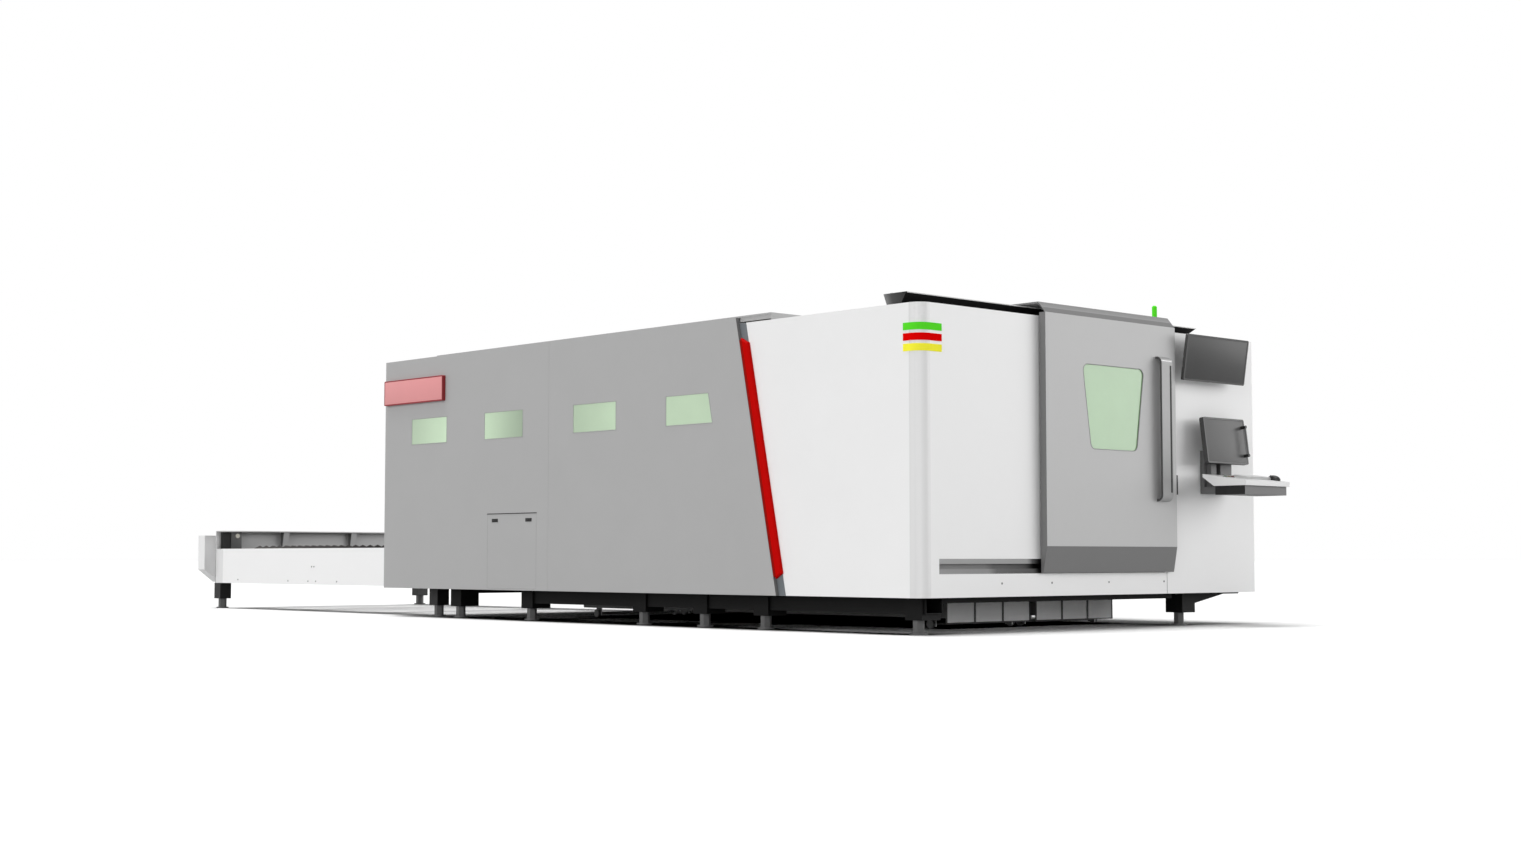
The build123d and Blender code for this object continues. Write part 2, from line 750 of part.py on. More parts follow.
# Roof: a flush rear plate, and a raised lid with side skirts that laps over the white module
LID_Y = (GREY_NEAR_Y + LID_INSET, GREY_FAR_Y - LID_INSET)
with BuildPart() as roof_lid:
    slab((REAR_X, back(LID_BACK)), LID_Y, (GREY_TOP, GREY_TOP + SHEET))
    slab((back(LID_BACK), back(LID_FRONT_BACK)), LID_Y, (GREY_TOP, GREY_TOP + LID_RISE))
    slab(
        (back(LID_BACK) + SHEET, back(LID_FRONT_BACK) - SHEET),
        (LID_Y[0] + SHEET, LID_Y[1] - SHEET),
        (GREY_TOP, GREY_TOP + LID_RISE - SHEET),
        Mode.SUBTRACT,
    )
    slab(
        (back(LID_FRONT_BACK) - SHEET, back(LID_FRONT_BACK)),
        (NEAR_Y + SHEET, FAR_Y - SHEET),
        (WHITE_TOP, GREY_TOP + LID_RISE),
    )
    for skirt_y, inward in ((NEAR_Y + SHEET, 1), (FAR_Y - SHEET, -1)):
        slab(
            (slant(WHITE_TOP, ROOF_LEAD), back(LID_FRONT_BACK)),
            between(skirt_y, inward * SHEET),
            (WHITE_TOP + LID_LINE, GREY_TOP + LID_RISE),
        )
save("roof_lid", roof_lid.part)

with BuildPart() as roof_front:
    slab(
        (slant(WHITE_TOP, ROOF_LEAD), FRONT_X - SHEET),
        (NEAR_Y + SHEET, FAR_Y - SHEET),
        (WHITE_TOP - SHEET, WHITE_TOP),
    )
    near_corner = roof_front.edges().filter_by(Axis.Z).sort_by(Axis.Y)[:2].sort_by(Axis.X)[-1]
    fillet(near_corner, radius=CORNER_RADIUS - SHEET)
    outer_corner = roof_front.edges().filter_by(Axis.Z).sort_by(Axis.Y)[-2:].sort_by(Axis.X)[-1]
    fillet(outer_corner, radius=FAR_CORNER_RADIUS - SHEET)
save("roof_front", roof_front.part)

# Light bars bent round the near corner, on the face of the sheet
with BuildPart() as status_bars:
    for level in range(BAR_COUNT):
        low = BAR_BASE + level * BAR_PITCH
        with BuildSketch(Plane.XY.offset(low)) as light_bar:
            with BuildLine():
                side_run = Line((back(BAR_SIDE_REACH), NEAR_Y), (back(CORNER_RADIUS), NEAR_Y))
                bend = RadiusArc(side_run @ 1, (FRONT_X, NEAR_Y + CORNER_RADIUS), -CORNER_RADIUS)
                front_run = Line(bend @ 1, (FRONT_X, across(BAR_FRONT_REACH)))
                Line(front_run @ 1, (FRONT_X + BAR_THICK, across(BAR_FRONT_REACH)))
                outer_front = Line(
                    (FRONT_X + BAR_THICK, across(BAR_FRONT_REACH)),
                    (FRONT_X + BAR_THICK, NEAR_Y + CORNER_RADIUS),
                )
                outer_bend = RadiusArc(
                    outer_front @ 1,
                    (back(CORNER_RADIUS), NEAR_Y - BAR_THICK),
                    CORNER_RADIUS + BAR_THICK,
                )
                outer_side = Line(outer_bend @ 1, (back(BAR_SIDE_REACH), NEAR_Y - BAR_THICK))
                Line(outer_side @ 1, side_run @ 0)
            make_face()
        extrude(light_bar.sketch, amount=BAR_HEIGHT)
save("status_bars", status_bars.part)

# Cover over the door rail: a folded sheet with an overhanging face and closed, raked ends
with BuildPart() as door_rail_cover:
    prism(
        Plane(origin=(0, NEAR_Y, 0), x_dir=(1, 0, 0), z_dir=(0, -1, 0)),
        [
            (back(VISOR_BACK), WHITE_TOP),
            (back(VISOR_FOOT_BACK), WHITE_TOP),
            (back(VISOR_FOOT_BACK), VISOR_FOOT),
            (back(VISOR_TOP_BACK), VISOR_TOP),
            (back(VISOR_BACK), VISOR_TOP),
        ],
        -VISOR_FAR_TOP,
    )
    prism(
        front_plane(back(VISOR_BACK) - OVERRUN),
        [
            (across(VISOR_NEAR_FOOT), WHITE_TOP),
            (across(VISOR_FAR_FOOT), WHITE_TOP),
            (across(VISOR_FAR_TOP), VISOR_TOP),
            (NEAR_Y, VISOR_TOP),
        ],
        VISOR_BACK,
        Mode.INTERSECT,
    )
    offset(amount=-VISOR_WALL, openings=door_rail_cover.faces().sort_by(Axis.Z)[0], kind=Kind.INTERSECTION)
save("door_rail_cover", door_rail_cover.part)

# Door tracks: a flat rail on the cover and a ledged channel behind the lower slot
with BuildPart() as door_tracks:
    slab(
        (back(RAIL_BACK) - RAIL_WIDTH / 2, back(RAIL_BACK) + RAIL_WIDTH / 2),
        (across(VISOR_NEAR_FOOT), across(VISOR_FAR_FOOT)),
        (VISOR_TOP, VISOR_TOP + RAIL_HEIGHT),
    )
    slot_mid = (SLOT_BASE + SLOT_TOP) / 2
    prism(
        side_plane(across(SLOT_NEAR)),
        [
            (FRONT_X - SHEET, SLOT_BASE - TRACK_LEDGE),
            (FRONT_X - SHEET, slot_mid - SHOE_HEIGHT / 2 - RUN_GAP),
            (FRONT_X - TRACK_DEPTH, slot_mid - SHOE_HEIGHT / 2 - RUN_GAP),
            (FRONT_X - TRACK_DEPTH, slot_mid + SHOE_HEIGHT / 2 + RUN_GAP),
            (FRONT_X - SHEET, slot_mid + SHOE_HEIGHT / 2 + RUN_GAP),
            (FRONT_X - SHEET, SLOT_TOP + TRACK_LEDGE),
            (FRONT_X - TRACK_DEPTH - TRACK_LEDGE, SLOT_TOP + TRACK_LEDGE),
            (FRONT_X - TRACK_DEPTH - TRACK_LEDGE, SLOT_BASE - TRACK_LEDGE),
        ],
        SLOT_NEAR - SLOT_FAR,
    )
save("door_tracks", door_tracks.part)

# Sliding door: one folded sheet with side and lower returns, and a window cut-out
DOOR_Y = (across(DOOR_NEAR), across(DOOR_FAR))
DOOR_BACK_X = FRONT_X + DOOR_CLEAR


def door_light(x, grow=0.0):
    """The door's window outline on a front plane, with rounded corners, grown by a lap."""
    centre = across(DOOR_WINDOW_CENTRE)
    foot_half = DOOR_WINDOW_FOOT_WIDTH / 2 + grow
    head_half = DOOR_WINDOW_HEAD_WIDTH / 2 + grow
    with BuildSketch(front_plane(x)) as light:
        with BuildLine():
            Polyline(
                (centre - foot_half, DOOR_WINDOW_BASE - grow),
                (centre + foot_half, DOOR_WINDOW_BASE - grow),
                (centre + head_half, DOOR_WINDOW_TOP + grow),
                (centre - head_half, DOOR_WINDOW_TOP + grow),
                close=True,
            )
        make_face()
        fillet(light.vertices(), radius=DOOR_WINDOW_RADIUS + grow)
    return light.sketch


with BuildPart() as door_shell:
    with BuildSketch(side_plane(DOOR_Y[0])) as door_section:
        with BuildLine() as door_line:
            Polyline(
                (FRONT_X + DOOR_FOOT_PROUD, DOOR_FOOT),
                (FRONT_X + DOOR_PROUD, DOOR_CHAMFER_TOP),
                (FRONT_X + DOOR_PROUD, DOOR_FACE_TOP),
                (FRONT_X + DOOR_TOP_PROUD, DOOR_TOP),
                (back(DOOR_PLATE_BACK), DOOR_TOP),
            )
            offset(amount=DOOR_SHEET, side=Side.LEFT, kind=Kind.INTERSECTION)
        make_face()
    extrude(door_section.sketch, amount=DOOR_NEAR - DOOR_FAR)
    leaf = [
        (DOOR_BACK_X, DOOR_FOOT),
        (FRONT_X + DOOR_FOOT_PROUD, DOOR_FOOT),
        (FRONT_X + DOOR_PROUD, DOOR_CHAMFER_TOP),
        (FRONT_X + DOOR_PROUD, DOOR_FACE_TOP),
        (DOOR_BACK_X, DOOR_FACE_TOP),
    ]
    prism(side_plane(DOOR_Y[0]), leaf, -DOOR_SHEET)
    prism(side_plane(DOOR_Y[1]), leaf, DOOR_SHEET)
    slab(
        (DOOR_BACK_X, FRONT_X + DOOR_FOOT_PROUD),
        DOOR_Y,
        (DOOR_FOOT, DOOR_FOOT + DOOR_SHEET),
    )
    extrude(door_light(DOOR_BACK_X), amount=DOOR_PROUD, mode=Mode.SUBTRACT)
save("door_shell", door_shell.part)

with BuildPart() as door_window:
    extrude(door_light(FRONT_X + DOOR_PROUD - DOOR_SHEET, DOOR_GLASS_LAP), amount=-GLASS)
save("door_window", door_window.part)

HANDLE_X = (FRONT_X + DOOR_PROUD, FRONT_X + DOOR_PROUD + HANDLE_PROUD)
with BuildPart() as door_handle:
    with BuildSketch(side_plane(across(HANDLE_Y) - HANDLE_WIDTH / 2)) as handle_bow:
        with BuildLine():
            FilletPolyline(
                (HANDLE_X[0], HANDLE_BASE),
                (HANDLE_X[1], HANDLE_BASE),
                (HANDLE_X[1], HANDLE_TOP),
                (HANDLE_X[0], HANDLE_TOP),
                radius=HANDLE_RADIUS,
            )
            offset(amount=HANDLE_BAR, side=Side.LEFT, kind=Kind.INTERSECTION)
        make_face()
    extrude(handle_bow.sketch, amount=-HANDLE_WIDTH)
save("door_handle", door_handle.part)

# Door guides: blocks that straddle the rail, and shoes in the lower channel
with BuildPart() as door_guides:
    for guide_y in (DOOR_Y[0] + GUIDE_INSET, DOOR_Y[1] - GUIDE_INSET):
        slab(
            (back(RAIL_BACK) - GUIDE_WIDTH / 2, back(RAIL_BACK) + GUIDE_WIDTH / 2),
            (guide_y - GUIDE_LENGTH / 2, guide_y + GUIDE_LENGTH / 2),
            (VISOR_TOP + RUN_GAP, DOOR_TOP - DOOR_SHEET),
        )
        slab(
            (back(RAIL_BACK) - RAIL_WIDTH / 2 - RUN_GAP, back(RAIL_BACK) + RAIL_WIDTH / 2 + RUN_GAP),
            (guide_y - GUIDE_LENGTH, guide_y + GUIDE_LENGTH),
            (VISOR_TOP, VISOR_TOP + RAIL_HEIGHT + RUN_GAP),
            Mode.SUBTRACT,
        )
        shoe_z = (slot_mid - SHOE_HEIGHT / 2, slot_mid + SHOE_HEIGHT / 2)
        shoe_y = (guide_y - SHOE_LENGTH / 2, guide_y + SHOE_LENGTH / 2)
        shoe_lean = (DOOR_PROUD - DOOR_FOOT_PROUD) / (DOOR_CHAMFER_TOP - DOOR_FOOT)
        leaf_x = FRONT_X + DOOR_FOOT_PROUD - DOOR_SHEET - RUN_GAP
        prism(
            side_plane(shoe_y[0]),
            [
                (FRONT_X - SHOE_REACH, shoe_z[0]),
                (leaf_x + (shoe_z[0] - DOOR_FOOT) * shoe_lean, shoe_z[0]),
                (leaf_x + (shoe_z[1] - DOOR_FOOT) * shoe_lean, shoe_z[1]),
                (FRONT_X - SHOE_REACH, shoe_z[1]),
            ],
            -SHOE_LENGTH,
        )
save("door_guides", door_guides.part)

with BuildPart() as beacon:
    with Locations((back(BEACON_BACK), across(BEACON_Y), VISOR_TOP)):
        Cylinder(BEACON_BASE_RADIUS, BEACON_BASE_HEIGHT, align=(Align.CENTER, Align.CENTER, Align.MIN))
    with Locations((back(BEACON_BACK), across(BEACON_Y), VISOR_TOP + BEACON_BASE_HEIGHT)):
        Cylinder(
            BEACON_RADIUS,
            BEACON_TOP - VISOR_TOP - BEACON_BASE_HEIGHT,
            align=(Align.CENTER, Align.CENTER, Align.MIN),
        )
    chamfer(beacon.edges().sort_by(Axis.Z)[-1], length=BEACON_DOME)
save("beacon", beacon.part)

# Machine bed: two box beams, a plinth and pads under them, cross members, outriggers on the far side
BEAM_X = (back(BED_BACK), back(BED_FRONT_BACK))
BEAM_ROWS = (
    (across(BEAM_NEAR_Y), BODY_BASE),
    (across(BEAM_FAR_Y), BEAM_FAR_BASE),
)
FAR_BEAM_SIDE = across(BEAM_FAR_Y) + BEAM_WIDTH / 2
NEAR_BEAM_SIDE = across(BEAM_NEAR_Y) + BEAM_WIDTH / 2
PLINTH_X = (back(FOOT_BACKS[-2]) - PAD / 2, BEAM_X[1])
PLINTH_Y = (NEAR_BEAM_SIDE - PLINTH_WIDTH, NEAR_BEAM_SIDE)
bed_members = [tube(PLINTH_X, PLINTH_Y, (PLINTH_BASE, BODY_BASE), TUBE_WALL, Axis.X)]
for beam_y, beam_base in BEAM_ROWS:
    beam_sides = (beam_y - BEAM_WIDTH / 2, beam_y + BEAM_WIDTH / 2)
    bed_members.append(tube(BEAM_X, beam_sides, (beam_base, BEAM_TOP), BEAM_WALL, Axis.X))
for foot_back in FOOT_BACKS:
    foot_x = back(foot_back)
    cross_x = (foot_x - CROSS_WIDTH / 2, foot_x + CROSS_WIDTH / 2)
    cross_y = (across(BEAM_NEAR_Y) + BEAM_WIDTH / 2, across(BEAM_FAR_Y) - BEAM_WIDTH / 2)
    bed_members.append(tube(cross_x, cross_y, (CROSS_BASE, CROSS_TOP), TUBE_WALL, Axis.Y))
    pad_x = (foot_x - PAD / 2, foot_x + PAD / 2)
    far_pad = (across(BEAM_FAR_Y + FOOT_FAR_SHIFT) - FOOT_RADIUS, FAR_BEAM_SIDE)
    with BuildPart() as near_pad:
        slab(pad_x, (PLINTH_Y[0] - PAD_LIP, PLINTH_Y[1]), (FOOT_HEIGHT, BODY_BASE))
        if foot_x > PLINTH_X[0]:
            slab(pad_x, PLINTH_Y, (PLINTH_BASE, BODY_BASE), Mode.SUBTRACT)
    bed_members.append(near_pad.part)
    bed_members.append(bar(pad_x, far_pad, (FOOT_HEIGHT, BEAM_FAR_BASE)))
    with BuildPart() as outrigger:
        prism(
            front_plane(foot_x - OUTRIGGER_WIDTH / 2),
            [
                (FAR_BEAM_SIDE, BODY_BASE),
                (FAR_BEAM_SIDE, OUTRIGGER_BASE),
                (FAR_Y - OUTRIGGER_TIP_INSET, BODY_BASE - TIP_DEPTH),
                (FAR_Y - SHEET, BODY_BASE - TIP_DEPTH),
                (FAR_Y - SHEET, BODY_BASE),
            ],
            OUTRIGGER_WIDTH,
        )
    bed_members.append(outrigger.part)
save("bed_frame", *bed_members)

# One levelling foot, a disc with a hexagonal stem, and its places under the bed and the table
with BuildPart() as foot:
    Cylinder(FOOT_RADIUS, FOOT_RIM, align=(Align.CENTER, Align.CENTER, Align.MIN))
    with BuildSketch(Plane.XY.offset(FOOT_RIM)) as stem:
        RegularPolygon(STEM_RADIUS, STEM_SIDES)
    extrude(stem.sketch, amount=FOOT_HEIGHT - FOOT_RIM)

LEG_X = (back(LEG_OUTER_BACK + LEG_LENGTH), back(LEG_INNER_BACK + LEG_LENGTH))
LEG_Y = (PALLET_MID - TABLE_HALF, PALLET_MID + TABLE_HALF - LEG_WIDTH)
foot_places = []
for foot_back in FOOT_BACKS:
    foot_places.append((back(foot_back), across(BEAM_NEAR_Y), 0))
    foot_places.append((back(foot_back), across(BEAM_FAR_Y + FOOT_FAR_SHIFT), 0))
for leg_x in LEG_X:
    for leg_y in LEG_Y:
        foot_places.append((leg_x + LEG_LENGTH / 2, leg_y + LEG_WIDTH / 2, 0))
with BuildPart() as levelling_feet:
    with Locations(*foot_places):
        add(foot.part)
save("levelling_feet", levelling_feet.part)

# Posts that carry the panels and the roof
NEAR_POST_Y = (GREY_NEAR_Y + PANEL_DEPTH, GREY_NEAR_Y + PANEL_DEPTH + POST)
FAR_POST_Y = (GREY_FAR_Y - PANEL_DEPTH - POST, GREY_FAR_Y - PANEL_DEPTH)
posts = []
for post_back, top, on_white in (
    (POST_FRONT_BACK, WHITE_TOP - SHEET, True),
    (POST_SLANT_BACK, GREY_TOP, False),
    (PANEL_SEAM_BACK, GREY_TOP, False),
    (POST_REAR_BACK, GREY_TOP, False),
):
    post_x = (back(post_back) - POST / 2, back(post_back) + POST / 2)
    near = (NEAR_Y + SHEET, NEAR_Y + SHEET + POST) if on_white else NEAR_POST_Y
    far = (FAR_Y - SHEET - POST, FAR_Y - SHEET) if on_white else FAR_POST_Y
    for post_y in (near, far):
        posts.append(tube(post_x, post_y, (BODY_BASE, top), TUBE_WALL, Axis.Z))
for sill_rear, sill_front in ((POST_REAR_BACK, PANEL_SEAM_BACK), (PANEL_SEAM_BACK, POST_SLANT_BACK)):
    sill_x = (back(sill_rear) + POST / 2, back(sill_front) - POST / 2)
    for sill_y in (NEAR_POST_Y, FAR_POST_Y):
        posts.append(tube(sill_x, sill_y, (BODY_BASE, BODY_BASE + POST), TUBE_WALL, Axis.X))
save("enclosure_posts", *posts)

with BuildPart() as equipment_cabinets:
    cabinet_far = FAR_POST_Y[0] - CABINET_GAP / 2
    for cabinet_back, cabinet_length in ((CONTROL_BACK, CONTROL_LENGTH), (SOURCE_BACK, SOURCE_LENGTH)):
        cabinet_x = (back(cabinet_back), back(cabinet_back - cabinet_length))
        cabinet_y = (cabinet_far - CABINET_DEPTH, cabinet_far)
        slab(cabinet_x, cabinet_y, (BODY_BASE + CABINET_PLINTH, BODY_BASE + CABINET_HEIGHT))
        slab(
            (cabinet_x[0] + SHEET, cabinet_x[1] - SHEET),
            (cabinet_y[0] + SHEET, cabinet_y[1] - SHEET),
            (BODY_BASE + CABINET_PLINTH + SHEET, BODY_BASE + CABINET_HEIGHT - SHEET),
            Mode.SUBTRACT,
        )
        slab(
            (cabinet_x[0] + PLINTH_INSET, cabinet_x[1] - PLINTH_INSET),
            (cabinet_y[0] + PLINTH_INSET, cabinet_y[1] - PLINTH_INSET),
            (BODY_BASE, BODY_BASE + CABINET_PLINTH),
        )
save("equipment_cabinets", equipment_cabinets.part)

# Exchange table: side beams, cross members, end stops, panels and legs
TABLE_X = (back(TABLE_BEAM_BACK), back(TABLE_INNER_BACK))
UPPER_LEVEL = LOWER_LEVEL + LEVEL_STEP
beam_start = TABLE_HALF - TABLE_PANEL_DEPTH
table_members = []
for side in (-1, 1):
    beam_y = between(PALLET_MID + side * beam_start, -side * (beam_start - TRACK_HALF))
    table_members.append(tube(TABLE_X, beam_y, (TABLE_BASE, TABLE_BEAM_TOP), TUBE_WALL, Axis.X))
    stop_y = between(PALLET_MID + side * STOP_REACH, -side * STOP_WIDTH)
    stop_x = (TABLE_X[0], TABLE_X[0] + STOP_THICK)
    table_members.append(bar(stop_x, stop_y, (UPPER_LEVEL, GUARD_WALL_TOP - GUARD_SHEET)))
cross_pitch = (TABLE_X[1] - TABLE_X[0] - LEG_LENGTH) / (TABLE_CROSS_COUNT - 1)
for number in range(TABLE_CROSS_COUNT):
    cross_x = TABLE_X[0] + LEG_LENGTH / 2 + number * cross_pitch
    table_members.append(
        tube(
            (cross_x - CROSS_WIDTH / 2, cross_x + CROSS_WIDTH / 2),
            (PALLET_MID - TRACK_HALF, PALLET_MID + TRACK_HALF),
            (TABLE_BASE, CROSS_TOP),
            TUBE_WALL,
            Axis.Y,
        )
    )
for leg_x in LEG_X:
    for leg_y in LEG_Y:
        leg_sides = ((leg_x, leg_x + LEG_LENGTH), (leg_y, leg_y + LEG_WIDTH))
        plate_top = FOOT_HEIGHT + LEG_PLATE
        table_members.append(bar(*leg_sides, (FOOT_HEIGHT, plate_top)))
        table_members.append(tube(*leg_sides, (plate_top, TABLE_BASE), TUBE_WALL, Axis.Z))
save("table_frame", *table_members)

TABLE_OUTLINE = [
    (back(TABLE_PANEL_BACK), TABLE_BASE),
    (REAR_X - SEAM, TABLE_BASE),
    (REAR_X - SEAM, TABLE_PANEL_TOP),
    (back(TABLE_PANEL_BACK), TABLE_PANEL_TOP),
]
near_cover = cassette(side_plane(PALLET_MID - beam_start), TABLE_OUTLINE, TABLE_PANEL_DEPTH, -1)
far_cover = cassette(side_plane(PALLET_MID + TABLE_HALF), TABLE_OUTLINE, TABLE_PANEL_DEPTH, 0)
save("table_side_panels", near_cover, far_cover)

# Guard at the outer end: a ribbed wall with a top flange, and a chamfered cover at each corner
WALL_X = back(TABLE_BEAM_BACK)
WALL_Y = (PALLET_MID - GUARD_WALL_HALF, PALLET_MID + GUARD_WALL_HALF)
with BuildPart() as guard_wall:
    slab(
        (WALL_X - GUARD_SHEET, WALL_X),
        WALL_Y,
        (TABLE_BASE, GUARD_WALL_TOP),
    )
    slab(
        (WALL_X - GUARD_SHEET, WALL_X + GUARD_FLANGE),
        WALL_Y,
        (GUARD_WALL_TOP - GUARD_SHEET, GUARD_WALL_TOP),
    )
    for number in range(RIB_COUNT):
        rib_y = WALL_Y[0] + RIB_FIRST + number * RIB_PITCH
        prism(
            side_plane(rib_y - RIB_WIDTH / 2),
            [
                (WALL_X, TABLE_BEAM_TOP),
                (WALL_X + GUARD_SHEET, TABLE_BEAM_TOP),
                (WALL_X + RIB_DEPTH, GUARD_WALL_TOP - GUARD_SHEET),
                (WALL_X, GUARD_WALL_TOP - GUARD_SHEET),
            ],
            -RIB_WIDTH,
        )
with BuildPart() as guard_corners:
    for side in (-1, 1):
        reach = side * (PALLET_Y - CORNER_NEAR)
        foot_reach = side * (PALLET_Y - CORNER_FOOT_NEAR)
        inner_reach = side * (PALLET_Y - CORNER_INNER)
        prism(
            front_plane(back(TABLE_REACH)),
            [
                (PALLET_MID + inner_reach, CORNER_FOOT),
                (PALLET_MID + foot_reach, CORNER_FOOT),
                (PALLET_MID + reach, CORNER_CHAMFER_TOP),
                (PALLET_MID + reach, CORNER_TOP),
                (PALLET_MID + inner_reach, CORNER_TOP),
            ],
            TABLE_REACH - TABLE_BEAM_BACK - GUARD_SHEET,
        )
save("table_end_guard", guard_wall.part, guard_corners.part)

# Pallet tracks: one ledged channel each side, from the table into the bed
TRACK_X = (back(TABLE_BEAM_BACK), back(TRACK_FRONT_BACK))
track_members = []
for side in (-1, 1):
    web = PALLET_MID + side * TRACK_HALF
    track_members.append(bar(TRACK_X, between(web, -side * TRACK_WEB), (CROSS_TOP, UPPER_LEVEL)))
    for level in (LOWER_LEVEL, UPPER_LEVEL):
        ledge_y = between(web - side * TRACK_WEB, -side * (LEDGE_WIDTH - TRACK_WEB))
        track_members.append(bar(TRACK_X, ledge_y, (level - LEDGE, level)))
save("pallet_tracks", *track_members)


# Pallets: frame, serrated slats and two wheelsets, made alike at each level
def tooth_line(near, far, root, tip):
    """Points of a serrated edge, from the far end back to the near end."""
    pitch = (far - near) / TOOTH_COUNT
    points = [(far, root)]
    for number in range(TOOTH_COUNT):
        valley = far - (number + 1) * pitch
        points.append((valley + pitch / 2, tip))
        points.append((valley, root))
    return points


def make_pallet(name, rear_x, level):
    """Write one pallet's frame, slats and two axles, standing on a track level."""
    front_x = rear_x + PALLET_LENGTH
    middle_x = rear_x + PALLET_LENGTH / 2
    low = level + PALLET_BASE_RISE
    axle_z = level + WHEEL_RADIUS + WHEEL_GAP
    axle_reach = (SLAT_COUNT / 2 - AXLE_INSET_SLATS) * SLAT_PITCH
    axle_xs = {"rear": middle_x - axle_reach, "front": middle_x + axle_reach}
    with BuildPart() as frame:
        for side in (-1, 1):
            rail = PALLET_MID + side * PALLET_HALF
            slab((rear_x, front_x), between(rail, -side * PALLET_SHEET), (low, low + PALLET_HEIGHT))
            slab((rear_x, front_x), between(rail, -side * PALLET_FLANGE), (low, low + PALLET_SHEET))
        for axle_x in axle_xs.values():
            rod(
                (axle_x, PALLET_MID - PALLET_HALF - OVERRUN, axle_z),
                (0, 1, 0),
                AXLE_RADIUS + BORE_GAP,
                PALLET_HALF + PALLET_HALF + OVERRUN + OVERRUN,
                Mode.SUBTRACT,
            )
    inner = PALLET_HALF - PALLET_SHEET
    with BuildPart() as ends:
        for end_x in (rear_x, front_x - PALLET_SHEET):
            slab(
                (end_x, end_x + PALLET_SHEET),
                (PALLET_MID - inner, PALLET_MID + inner),
                (low + PALLET_SHEET, low + PALLET_HEIGHT),
            )
        bar_half = PALLET_HALF - PALLET_FLANGE
        bar_pitch = PALLET_LENGTH / (PALLET_BAR_COUNT + 1)
        for number in range(1, PALLET_BAR_COUNT + 1):
            bar_x = rear_x + number * bar_pitch
            slab(
                (bar_x - PALLET_BAR / 2, bar_x + PALLET_BAR / 2),
                (PALLET_MID - bar_half, PALLET_MID + bar_half),
                (low, low + PALLET_SHEET),
            )
    save(name + "_pallet_frame", frame.part, ends.part)
    with BuildPart() as slats:
        slat_near = PALLET_MID - inner + GLASS_GAP
        slat_far = PALLET_MID + inner - GLASS_GAP
        tip = level + SLAT_TIP_RISE
        teeth = tooth_line(slat_near, slat_far, tip - TOOTH_DEPTH, tip)
        for number in range(SLAT_COUNT):
            slat_x = middle_x + (number - (SLAT_COUNT - 1) / 2) * SLAT_PITCH
            prism(
                front_plane(slat_x - SLAT_THICK / 2),
                [(slat_near, low + PALLET_SHEET), (slat_far, low + PALLET_SHEET)] + teeth,
                SLAT_THICK,
            )
    save(name + "_pallet_slats", slats.part)
    wheel_outer = TRACK_HALF - TRACK_WEB - WHEEL_GAP - (LEDGE_WIDTH - TRACK_WEB - WHEEL_WIDTH) / 2
    for end, axle_x in axle_xs.items():
        with BuildPart() as wheelset:
            axle_start = (axle_x, PALLET_MID - wheel_outer, axle_z)
            rod(axle_start, (0, 1, 0), AXLE_RADIUS, wheel_outer + wheel_outer)
            for wheel_y in (PALLET_MID - wheel_outer, PALLET_MID + wheel_outer - WHEEL_WIDTH):
                rod((axle_x, wheel_y, axle_z), (0, 1, 0), WHEEL_RADIUS, WHEEL_WIDTH)
        save(name + "_" + end + "_wheelset", wheelset.part)


make_pallet("upper", back(PALLET_OUT_BACK), UPPER_LEVEL)
make_pallet("lower", back(PALLET_IN_BACK), LOWER_LEVEL)

# Gantry on rails along both bed beams
RAIL_TOP = BEAM_TOP + LINEAR_RAIL_HEIGHT
with BuildPart() as gantry_rails:
    for beam_y, beam_base in BEAM_ROWS:
        slab(
            (BEAM_X[0] + RAIL_ENDS, BEAM_X[1] - RAIL_ENDS),
            (beam_y - LINEAR_RAIL / 2, beam_y + LINEAR_RAIL / 2),
            (BEAM_TOP, RAIL_TOP),
        )
save("gantry_rails", gantry_rails.part)

